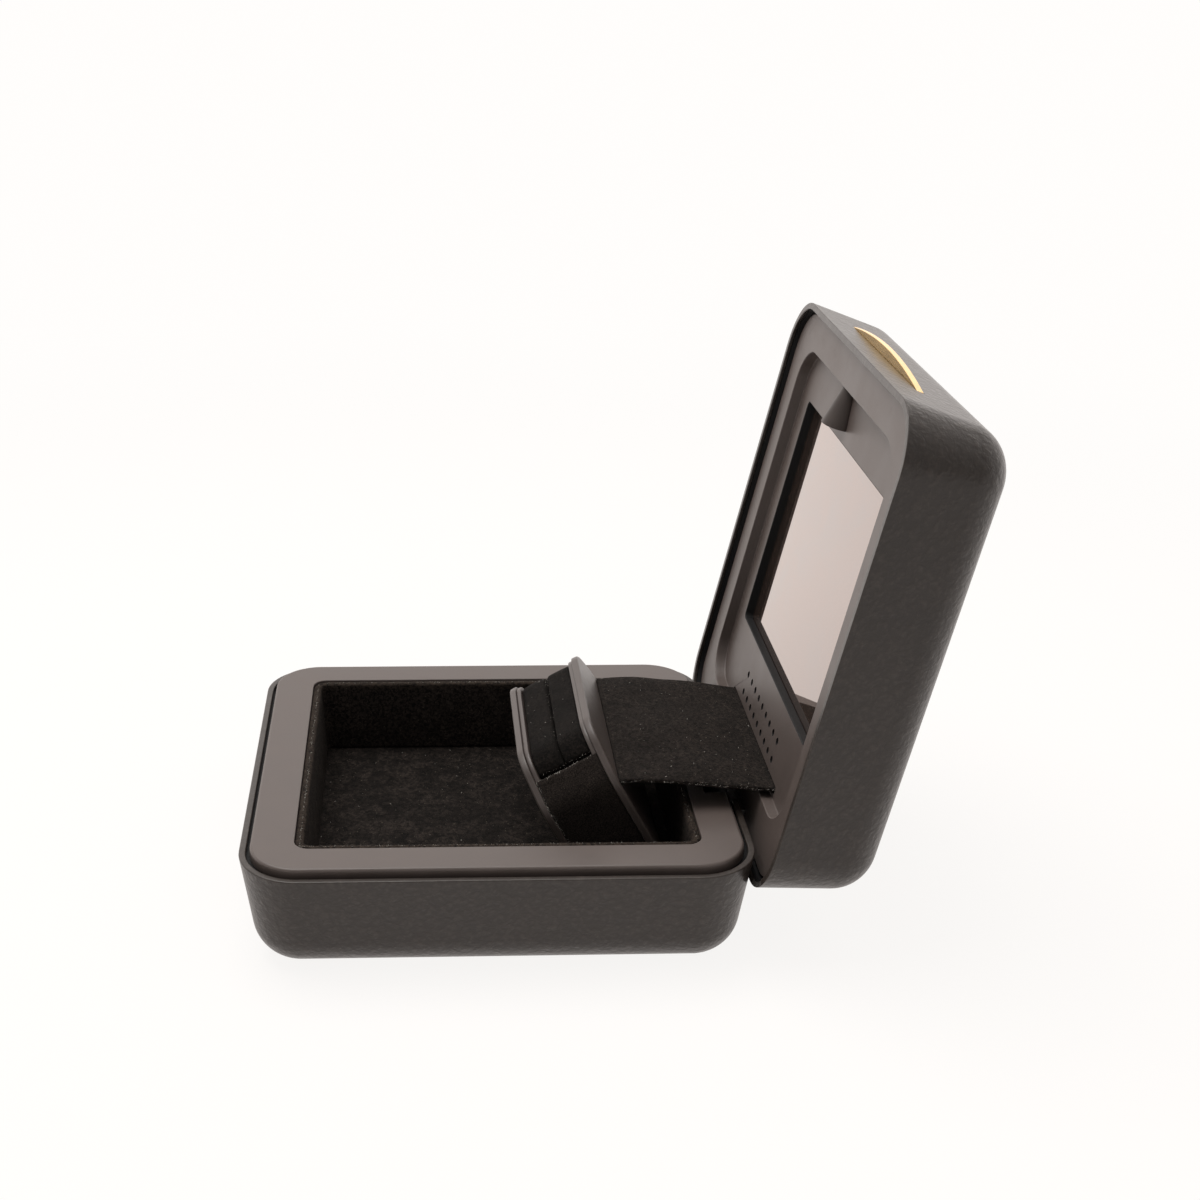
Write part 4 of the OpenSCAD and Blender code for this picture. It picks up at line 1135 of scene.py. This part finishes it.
def side_pad(name, side):
    """Suede pad down one flank of the holder and over the carrier's rims, with the lines of its loose edges."""
    roll = bpy.context.scene.ring_box_sizes.side_roll / MM
    samples, length = walked(left_flank(PAD_INSET, PAD_KNEE, PAD_FOOT, SIDE_SEAM), 0.45)
    under, flap = PAD_UNDER - PAD_INSET, RIM_UNDER - PAD_INSET
    turned_in, back = 0.3, PAD_BACK
    stations = [(e - back) / (PAD_FRONT - back) for e in edge_steps(PAD_FRONT, back, turned_in, 4)]
    rings = []
    for p, normal, along in samples:
        front = PAD_FRONT
        if p.y < 0.0:
            front = max(front, -math.sqrt(max(CARRIER_ROUND**2 - p.y**2, 0.05)))
        ends = rolled_in(length - along, roll) + rolled_in(along, roll)
        skin = []
        for share in stations:
            e = back + (front - back) * share
            to_edge = min(e - front, back - e)
            fall = min(rolled_in(to_edge, turned_in) * 0.5 + 0.02, flap) * 0.9
            middle = 1.0 - abs(2.0 * (e - front) / (back - front) - 1.0) ** 2.5
            on_rim = min(1.0, max(0.0, to_edge - 0.6) / 1.5)
            drift = wander((p.x, e, p.y), 2.8, 0.03 + 0.04 * on_rim, 5.0)
            skin.append((e, fall + ends * (0.15 + 0.85 * on_rim) - 0.06 * middle + drift))
        inner = max(front + 0.05, INNER_FRONT)
        skin += [(back - 0.05, flap), (INNER_BACK, flap), (INNER_BACK, under)]
        skin += [(inner, under), (inner, flap), (front + 0.02, flap)]
        rings.append([on_holder(-side * (p.x - normal.x * d), e, p.y - normal.y * d) for e, d in skin])
    piece = new_piece(name, closed_mesh(name, rings), "side suede in painted light")
    turns = [a * math.tau / 24 for a in range(24)]
    around = [(PIN_WAY * math.cos(a), PIN_WAY * math.sin(a)) for a in turns]
    way = closed_mesh("pin_way", [[on_holder(x, e, u) for e, u in around] for x in (side * 20.0, side * 26.0)])
    pin = bpy.data.objects.new("pin_way", way)
    bpy.context.scene.collection.objects.link(pin)
    hole = piece.modifiers.new("Pin Hole", "BOOLEAN")
    hole.object = pin
    hole.operation = "DIFFERENCE"
    baked(piece)
    bpy.data.objects.remove(pin)
    smooth(piece.data, 50.0)
    flank = [p + normal * 0.06 for p, normal, _ in samples if p.y > 2.0]
    top = flank[-1]
    front_edge = [on_holder(-side * p.x, PAD_FRONT + 0.08, p.y) for p in flank]
    seam = [on_holder(-side * top.x, PAD_FRONT + 0.2 + 0.5 * i, top.y - 0.1) for i in range(27)]
    return piece, [front_edge, seam]


def strap_line(x, steps):
    """Middle line of the strap at a place x across it, from the holder's slit to the lid's."""
    start = on_holder(0.0, REAR_FACE + STRAP_CLEAR, STRAP_SEAM) / MM
    end = on_lid(0.0, STRAP_LINE, RECESS_FLOOR + 0.25) / MM
    out_of = on_holder(0.0, REAR_FACE + STRAP_CLEAR + 1.0, STRAP_SEAM) / MM - start
    into = on_lid(0.0, STRAP_LINE, RECESS_FLOOR + 1.25) / MM - end
    lift = 11.5 - 3.5 * x / STRAP_HALF
    land = 11.0 + 2.0 * x / STRAP_HALF
    points = []
    for i in range(steps + 1):
        t = i / steps
        h0, h1 = 2 * t**3 - 3 * t**2 + 1, -2 * t**3 + 3 * t**2
        g0, g1 = t**3 - 2 * t**2 + t, t**3 - t**2
        points.append(start * h0 + end * h1 + out_of * (lift * g0) + into * (land * g1))
    return points


def strap_mesh(name, half_width, ripple):
    """The strap as a closed skin: a lightly rippled sheet with rounded, slightly curled edges.

    Its near and far edge lines and its length come with it.
    """
    steps, across = 46, 56
    half = STRAP_THICK / 2
    columns = []
    for j in range(across + 1):
        x = -half_width + 2 * half_width * j / across
        columns.append((x, strap_line(x, steps)))
    turned_edge = [(math.sin(a * math.pi / 6), math.cos(a * math.pi / 6)) for a in range(1, 6)]
    rings, near, far = [], [], []
    for i in range(steps + 1):
        free = math.sin(math.pi * i / steps)
        centre = []
        for x, line in columns:
            a, b = line[max(i - 1, 0)], line[min(i + 1, steps)]
            way = (b - a).normalized()
            up = Vector((0.0, -way.z, way.y))
            edge = max(0.0, abs(x) / half_width - 0.86) / 0.14
            wave = math.sin(x * 0.31 + i * 0.09) * 0.45 + noise.noise(Vector((x * 0.09, i * 0.12, 3.0)))
            height = STRAP_CLEAR + free * (ripple * wave - 0.22 * edge**2)
            p = line[i] + up * height
            centre.append((Vector((x, p.y, p.z)), up))
        ring = [(p + up * half) * MM for p, up in centre]
        for side, end, edge_line in ((1, -1, near), (-1, 0, far)):
            fray = wander((0.0, i * 0.8, side * 9.0), 1.3, 0.16) + wander((0.0, i * 0.8, side * 4.0), 4.0, 0.12)
            p, up = centre[end]
            for out, over in turned_edge:
                push = Vector((half * 0.8 * out + fray * out * free, 0.0, 0.0))
                ring.append((p + (up * (half * over) + push) * side) * MM)
            edge_line.append((p + Vector((side * half * 0.7, 0.0, 0.0))) * MM)
            if side > 0:
                ring += [(p - up * half) * MM for p, up in reversed(centre)]
        rings.append(ring)
    middle = strap_line(0.0, steps)
    length = sum((b - a).length for a, b in zip(middle, middle[1:])) * MM
    return closed_mesh(name, rings), near, far, length


def soft_floor(name, node, finish):
    """A flat pad's own shape with a fine grid over it, its face lightly uneven and its rim eased."""
    bm = merged_copy(node)
    low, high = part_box(node)
    step = 1.6 * MM
    for axis in (0, 1):
        place = low[axis] + step
        while place < high[axis] - 0.4 * step:
            across = Vector((axis == 0, axis == 1, 0))
            whole = bm.verts[:] + bm.edges[:] + bm.faces[:]
            bmesh.ops.bisect_plane(bm, geom=whole, dist=1e-7, plane_co=across * place, plane_no=across)
            place += step
    for v in bm.verts:
        if v.co.z > high[2] - 1e-5:
            inside = min(v.co.x - low[0], high[0] - v.co.x, v.co.y - low[1], high[1] - v.co.y)
            eased = 0.1 if inside < 0.3 * MM else 0.0
            dip = 0.05 + 0.07 * (1 + noise.noise(v.co / 0.008)) / 2
            v.co.z -= (dip + eased) * MM
    bmesh.ops.recalc_face_normals(bm, faces=bm.faces)
    mesh = bpy.data.meshes.new(name)
    bm.to_mesh(mesh)
    bm.free()
    piece = new_piece(name, mesh, finish)
    smooth(piece.data, 40.0)
    return piece


def upward_faces(piece, name, lowest=0.5, within=None):
    """A copy of the faces of a piece that look upwards, for lint to settle on."""
    bm = bmesh.new()
    bm.from_mesh(piece.data)
    drop = [f for f in bm.faces if f.normal.z < lowest or (within and not within(f.calc_center_median()))]
    bmesh.ops.delete(bm, geom=drop, context="FACES")
    mesh = bpy.data.meshes.new(name)
    bm.to_mesh(mesh)
    bm.free()
    return mesh


# ---------------------------------------------------------------- operators


class OBJECT_OT_ring_box_leather(bpy.types.Operator):
    """Wrap both halves in grained leather, eased where it turns over the rims"""

    bl_idname = "object.ring_box_leather"
    bl_label = "Leather Covers"

    def execute(self, context):
        edge = context.scene.ring_box_sizes.leather_edge
        for node, name, body, rim, share in (
            ("base_cover", "base_leather", "base", on_base_rim, 1.0),
            ("lid_cover", "lid_leather", "lid", on_lid_rim, 0.66),
        ):
            piece = finished_copy(node, name, "charcoal leather", edge * share, segments=3)
            second_finish(piece, "pressed leather with painted highlight", rim)
            seated(piece, body, "leather", node)
        return {"FINISHED"}


class OBJECT_OT_ring_box_trim(bpy.types.Operator):
    """Round the edges of the satin frames of the base and the lid and of the lamp's cowl"""

    bl_idname = "object.ring_box_trim"
    bl_label = "Trim Frames"

    def execute(self, context):
        edge = context.scene.ring_box_sizes.trim_edge
        for node, name, body, finish, flare in (
            ("base_frame", "base_trim", "base", "satin trim", None),
            ("lid_frame", "lid_trim", "lid", "satin trim", 1.35),
            ("lamp_cowl", "cowl", "lid", "cowl trim", None),
        ):
            piece = finished_copy(node, name, finish, edge, flare=flare)
            if flare:
                # The walls of the screen's window and of the grille holes through the panel are black: painted shade
                # inside the openings
                second_finish(piece, "black moulding and painted shade", in_panel_opening)
            seated(piece, body, "trim_plastic", node)
        return {"FINISHED"}


class OBJECT_OT_ring_box_holder(bpy.types.Operator):
    """Finish the cheeks and the carrier of the ring holder"""

    bl_idname = "object.ring_box_holder"
    bl_label = "Holder Shell"

    def execute(self, context):
        edge = context.scene.ring_box_sizes.cheek_edge
        for node, name in (("front_cheek", "cheek_front"), ("rear_cheek", "cheek_rear"), ("holder_carrier", "carrier")):
            piece = finished_copy(node, name, "holder trim", edge, angle=50.0)
            seated(piece, "holder", "trim_plastic", node)
        return {"FINISHED"}


class OBJECT_OT_ring_box_lining(bpy.types.Operator):
    """Line the well with suede: a rolled wall, a soft floor and the lint they catch"""

    bl_idname = "object.ring_box_lining"
    bl_label = "Well Lining"

    def execute(self, context):
        sizes = context.scene.ring_box_sizes
        low, high = box_of("well_lining")
        high = Vector((high.x, high.y, LINING_TOP))
        wall = lining_wall("lining_wall", low, high, sizes.lining_thickness, 2.6 * MM, sizes.lining_roll)
        lean = 1.1 * MM
        for v in wall.data.vertices:
            front = min(1.0, max(0.0, (low.y + 6 * MM - v.co.y) / (4 * MM)))
            v.co.y += lean * front * (high.z - v.co.z) / (high.z - low.z)
        smooth(wall.data, 60.0)
        seated(wall, "base", "suede", "well_lining")
        floor = soft_floor("lining_floor", "well_floor_pad", "floor suede in painted shade")
        seated(floor, "base", "suede", "well_floor_pad")
        inset = 0.6 * sizes.lining_thickness
        x, front, back = high.x - inset, low.y + inset, high.y - inset
        rim = [(x, front, high.z), (x, back, high.z), (-x, back, high.z), (-x, front, high.z), (x, front, high.z)]
        fibres = edge_fibres("lining_fibres", [rim], spacing=0.00028, seed=3, share=0.75)
        seated(fibres, "base", "suede")
        holder_low, holder_high = box_of("front_cheek", "rear_cheek", "holder_carrier")

        def clear(p):
            """Whether a point of the floor is out of the holder's way."""
            return p.y < holder_low.y - 2 * MM or abs(p.x) > holder_high.x + 4 * MM

        lint = lint_on("floor_lint", upward_faces(floor, "floor_lint", within=clear), share=1.0, seed=11)
        seated(lint, "base", "suede")
        return {"FINISHED"}


class OBJECT_OT_ring_box_ring_pad(bpy.types.Operator):
    """Pad the top of the holder with two suede rolls that grip a ring between them"""

    bl_idname = "object.ring_box_ring_pad"
    bl_label = "Ring Pad"

    def execute(self, context):
        front, _ = ring_roll("ring_roll_front", *FRONT_ROLL, slot_side=1)
        back, samples = ring_roll("ring_roll_back", *BACK_ROLL, slot_side=-1)
        seated(front, "holder", "suede", "ring_pad")
        seated(back, "holder", "suede", "ring_pad")
        lines = []
        left = samples[0][0]
        for side in (-1, 1):
            lines.append([on_holder(-side * (left.x + 0.25), -2.0 + 0.5 * i, left.y - 0.05) for i in range(23)])
        for e in (3.2, 4.0):
            lines.append([on_holder(p.x - n.x * 0.55, e, p.y - n.y * 0.55) for p, n, _ in samples[2:-2:2]])
        fibres = edge_fibres("pad_fibres", lines, spacing=0.0007, seed=21)
        seated(fibres, "holder", "suede")
        tops = joined_meshes("pad_lint", [upward_faces(p, "pad_top", lowest=0.55) for p in (front, back)])
        seated(lint_on("pad_lint", tops, share=1.6, seed=5), "holder", "suede")
        return {"FINISHED"}


class OBJECT_OT_ring_box_side_pads(bpy.types.Operator):
    """Cover the flanks of the holder with suede pads"""

    bl_idname = "object.ring_box_side_pads"
    bl_label = "Side Pads"

    def execute(self, context):
        seams = []
        for side, name in ((-1, "side_pad_left"), (1, "side_pad_right")):
            pad, lines = side_pad(name + "_suede", side)
            seated(pad, "holder", "suede", name)
            seams += lines
        fibres = edge_fibres("side_pad_fibres", seams, spacing=0.0002, seed=31)
        seated(fibres, "holder", "suede")
        return {"FINISHED"}


class OBJECT_OT_ring_box_strap(bpy.types.Operator):
    """Run the suede lift strap from the holder's rear cheek into the lid"""

    bl_idname = "object.ring_box_strap"
    bl_label = "Lift Strap"

    def execute(self, context):
        sizes = context.scene.ring_box_sizes
        low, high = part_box("lift_strap")
        half = (high[0] - low[0]) / 2 / MM
        mesh, near, far, length = strap_mesh("strap_suede", half - 0.15, sizes.strap_ripple / MM)
        strap = new_piece("strap_suede", mesh, "strap suede")
        smooth(mesh, 60.0)
        fibres = edge_fibres("strap_fibres", [near, far], spacing=0.0002, seed=8)
        specks = lint_on("strap_lint", upward_faces(strap, "strap_lint"), share=1.5, seed=17)
        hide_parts("lift_strap")
        for piece in (strap, fibres, specks):
            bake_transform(piece)
        turns = [a * math.tau / 12 for a in range(12)]
        turn = [(0.3 * math.cos(a), 0.62 * math.sin(a)) for a in turns]
        rings = []
        for i in range(49):
            x = half * (i / 24 - 1) * 0.99 + wander((i, 0, 0), 3.0, 0.05)
            rings.append([on_holder(x, REAR_FACE + 0.28 + e, STRAP_SEAM + u) for e, u in turn])
        bead = new_piece("strap_bead", closed_mesh("strap_bead", rings), "strap suede")
        smooth(bead.data, 60.0)
        seated(bead, "holder", "suede")
        return {"FINISHED"}


class OBJECT_OT_ring_box_metal(bpy.types.Operator):
    """Finish the thumb lip, the hinge arms, the pivot brackets and their screws"""

    bl_idname = "object.ring_box_metal"
    bl_label = "Metal Fittings"

    def execute(self, context):
        edge = context.scene.ring_box_sizes.metal_edge
        lip = finished_copy("thumb_lip", "gold_lip", "pale gold", edge, segments=3)
        seated(lip, "lid", "gold_metal", "thumb_lip")
        for node, name, body in (
            ("hinge_arm_left", "arm_left", "lid"),
            ("hinge_arm_right", "arm_right", "lid"),
            ("pivot_brackets", "brackets", "base"),
        ):
            seated(finished_copy(node, name, "drawn steel", edge, angle=50.0), body, "steel", node)
        low, high = box_of("bracket_screws")
        head, top, shank = 1.5 * MM, 0.8 * MM, 0.75 * MM
        corners = [(x, y) for x in (low.x + head, high.x - head) for y in (low.y + head, high.y - head)]
        places = [(x, y, high.z - top / 2) for x, y in corners]
        screws = pan_screws("bracket_screw_heads", places, head, top, shank, high.z - low.z - top / 2)
        seated(screws, "base", "steel", "bracket_screws")
        if high.z > box_of("pivot_brackets")[1].z:
            raise RuntimeError("the bracket screws stand above their brackets")
        for node in ("hinge_pins", "pivot_pins", "hinge_screws", "board_screws", "weight_plate"):
            finish_node(node, "drawn steel")
        for node in ("base_magnets", "lid_magnets"):
            finish_node(node, "nickel")
        return {"FINISHED"}


class OBJECT_OT_ring_box_screen(bpy.types.Operator):
    """Finish the screen, the lamp and everything behind them"""

    bl_idname = "object.ring_box_screen"
    bl_label = "Screen and Lamp"

    def execute(self, context):
        for node, finish in (
            ("display_glass", "screen"),
            ("display_module", "module shell"),
            ("main_board", "solder mask"),
            ("battery", "battery foil"),
            ("speaker", "black moulding and painted shade"),
            ("strap_clamp", "black moulding and painted shade"),
            ("lamp", "lamp lens"),
        ):
            finish_node(node, finish)
        return {"FINISHED"}


class OBJECT_OT_ring_box_cores(bpy.types.Operator):
    """Finish the moulded cores, the tray, the hidden strap ends and the felt foot"""

    bl_idname = "object.ring_box_cores"
    bl_label = "Cores and Foot"

    def execute(self, context):
        for node in ("base_core", "lid_core", "well_tray"):
            finish_node(node, "black moulding and painted shade")
        for node in ("strap_anchor", "strap_tail"):
            finish_node(node, "strap suede")
        edge = context.scene.ring_box_sizes.trim_edge
        foot = finished_copy("felt_pad", "foot", "foot felt", edge, segments=3)
        seated(foot, "base", "felt", "felt_pad")
        return {"FINISHED"}


class SCENE_OT_ring_box_stage(bpy.types.Operator):
    """Set the pale floor, the soft light and the camera"""

    bl_idname = "scene.ring_box_stage"
    bl_label = "Stage"

    def execute(self, context):
        studio = context.scene.ring_box_studio
        self.lay_floor(studio)
        self.light(studio)
        self.place_camera(context.scene)
        context.scene.view_settings.view_transform = "Standard"
        return {"FINISHED"}

    def seen_or_mirrored(self, tree):
        """1 for rays from the camera, off gloss or through glass."""
        path = wired(tree, "ShaderNodeLightPath", {}).outputs
        total = path["Is Camera Ray"]
        for kind in ("Is Glossy Ray", "Is Transmission Ray"):
            total = reckoned(tree, total, path[kind], "MAXIMUM")
        return total

    def lay_floor(self, studio):
        """A pale paper floor that keeps the shadow near the box and fades into the background."""
        bm = bmesh.new()
        bmesh.ops.create_circle(bm, cap_ends=True, radius=14.0, segments=96)
        mesh = bpy.data.meshes.new("floor")
        bm.to_mesh(mesh)
        bm.free()
        floor = bpy.data.objects.new("floor", mesh)
        bpy.context.scene.collection.objects.link(floor)
        finish = Finish("floor paper", Roughness=0.9, Specular_IOR_Level=0.05)
        colour = tuple(studio.floor)
        away = finish.node("ShaderNodeVectorMath", {0: finish.place}, operation="LENGTH").outputs["Value"]
        across = finish.node("ShaderNodeSeparateXYZ", {0: finish.place}).outputs[0]
        grain = finish.noise(0.02, detail=5.0).outputs["Fac"]
        paper = finish.blend(finish.span(grain, 0.3, 0.7), shade(colour, 0.985), colour)
        finish.set("Base Color", finish.blend(finish.span(away, 0.16, 0.7), paper, shade(colour, 0.35)))
        seen = finish.node("ShaderNodeLightPath", {}).outputs["Is Camera Ray"]
        tone = finish.blend(seen, tuple(studio.mirror_tint), tuple(studio.backdrop))
        mirrored = finish.span(across, -0.3, 0.2, studio.mirrored, 0.9)
        bright = finish.span(seen, 0.0, 1.0, mirrored, 1.0)
        glow = finish.node("ShaderNodeEmission", {"Color": tone, "Strength": bright}).outputs[0]
        share = finish.times(self.seen_or_mirrored(finish.tree), finish.span(away, 0.12, 0.5, 0.9, 1.0))
        paper_or_glow = finish.node("ShaderNodeMixShader", {0: share, 1: finish.surface.outputs[0], 2: glow})
        feed(finish.tree, finish.output.inputs["Surface"], paper_or_glow.outputs[0])
        mesh.materials.append(finish.material)

    def light(self, studio):
        """Soft light from above and behind, little from the open side of the studio, and a large lamp."""
        world = bpy.data.worlds.new("Studio")
        bpy.context.scene.world = world
        world.use_nodes = True
        tree = world.node_tree
        tree.nodes.clear()

        def node(kind, inputs):
            """Adds a node and returns its first output."""
            return wired(tree, kind, inputs).outputs[0]

        place = wired(tree, "ShaderNodeTexCoord", {}).outputs["Generated"]
        way = wired(tree, "ShaderNodeSeparateXYZ", {0: place}).outputs
        open_side = mapped(tree, way[0], -0.1, 0.75, 1.0, 0.45)
        height = mapped(tree, way[2], 0.0, 0.9, 0.75, 1.15, smooth=False)
        even = reckoned(tree, open_side, height, "MULTIPLY")
        strength = reckoned(tree, even, studio.sky, "MULTIPLY")
        shine = mapped(tree, way[0], -0.8, 0.75, studio.mirrored, 0.4, smooth=False)
        soft = node("ShaderNodeBackground", {"Color": (1.0, 0.985, 0.97), "Strength": strength})
        mirrored = node("ShaderNodeBackground", {"Color": tuple(studio.mirror_tint), "Strength": shine})
        seen = node("ShaderNodeBackground", {"Color": tuple(studio.backdrop)})
        camera_ray = wired(tree, "ShaderNodeLightPath", {}).outputs["Is Camera Ray"]
        lit = node("ShaderNodeMixShader", {0: self.seen_or_mirrored(tree), 1: soft, 2: mirrored})
        shown = node("ShaderNodeMixShader", {0: camera_ray, 1: lit, 2: seen})
        wired(tree, "ShaderNodeOutputWorld", {"Surface": shown})
        lamp = bpy.data.lights.new("Soft Top", "AREA")
        lamp.shape = "DISK"
        lamp.size = 0.7
        lamp.energy = studio.top_light
        lamp.color = (1.0, 0.985, 0.965)
        holder = bpy.data.objects.new("Soft Top", lamp)
        holder.location = (-0.12, -0.2, 0.9)
        aim = Vector((0.0, 0.02, 0.03)) - Vector(holder.location)
        holder.rotation_euler = aim.to_track_quat("-Z", "Y").to_euler()
        bpy.context.scene.collection.objects.link(holder)

    def place_camera(self, scene):
        """The camera, beside the box and looking down into its well."""
        data = bpy.data.cameras.new("Camera")
        data.sensor_fit = "HORIZONTAL"
        data.sensor_width = SENSOR
        data.lens = SENSOR * FOCAL_LENGTH / IMAGE_SIZE
        data.shift_x = (IMAGE_SIZE / 2 - VIEW_MIDDLE[0]) / IMAGE_SIZE
        data.shift_y = (VIEW_MIDDLE[1] - IMAGE_SIZE / 2) / IMAGE_SIZE
        data.clip_start = 0.01
        data.clip_end = 60.0
        camera = bpy.data.objects.new("Camera", data)
        camera.location = CAMERA_PLACE
        camera.rotation_euler = Euler([math.radians(a) for a in CAMERA_TURN])
        scene.collection.objects.link(camera)
        scene.camera = camera


OPERATORS = (
    OBJECT_OT_ring_box_leather,
    OBJECT_OT_ring_box_trim,
    OBJECT_OT_ring_box_holder,
    OBJECT_OT_ring_box_lining,
    OBJECT_OT_ring_box_ring_pad,
    OBJECT_OT_ring_box_side_pads,
    OBJECT_OT_ring_box_strap,
    OBJECT_OT_ring_box_metal,
    OBJECT_OT_ring_box_screen,
    OBJECT_OT_ring_box_cores,
    SCENE_OT_ring_box_stage,
)


class VIEW3D_PT_ring_box(bpy.types.Panel):
    """Builds the ring display box piece by piece"""

    bl_idname = "VIEW3D_PT_ring_box"
    bl_label = "Ring Display Box"
    bl_space_type = "VIEW_3D"
    bl_region_type = "UI"
    bl_category = "Ring Box"

    def draw(self, context):
        for title, settings in (
            ("Sizes", context.scene.ring_box_sizes),
            ("Colours", context.scene.ring_box_colours),
            ("Studio", context.scene.ring_box_studio),
        ):
            box = self.layout.box()
            box.label(text=title)
            for name in settings.__annotations__:
                box.prop(settings, name)
        column = self.layout.column(align=True)
        for operator in OPERATORS:
            column.operator(operator.bl_idname)


SETTINGS = (RingBoxSizes, RingBoxColours, RingBoxStudio)


def register():
    """Adds the classes and the scene's settings."""
    for cls in (*SETTINGS, *OPERATORS, VIEW3D_PT_ring_box):
        bpy.utils.register_class(cls)
    bpy.types.Scene.ring_box_sizes = bpy.props.PointerProperty(type=RingBoxSizes)
    bpy.types.Scene.ring_box_colours = bpy.props.PointerProperty(type=RingBoxColours)
    bpy.types.Scene.ring_box_studio = bpy.props.PointerProperty(type=RingBoxStudio)


def unregister():
    """Takes the settings and the classes away again."""
    del bpy.types.Scene.ring_box_studio
    del bpy.types.Scene.ring_box_colours
    del bpy.types.Scene.ring_box_sizes
    for cls in reversed((*SETTINGS, *OPERATORS, VIEW3D_PT_ring_box)):
        bpy.utils.unregister_class(cls)


def main():
    """Builds the whole box, piece by piece."""
    register()
    for operator in OPERATORS:
        group, name = operator.bl_idname.split(".")
        result = getattr(getattr(bpy.ops, group), name)()
        if result != {"FINISHED"}:
            raise RuntimeError(f"{operator.bl_label} did not finish")


if __name__ == "__main__":
    main()
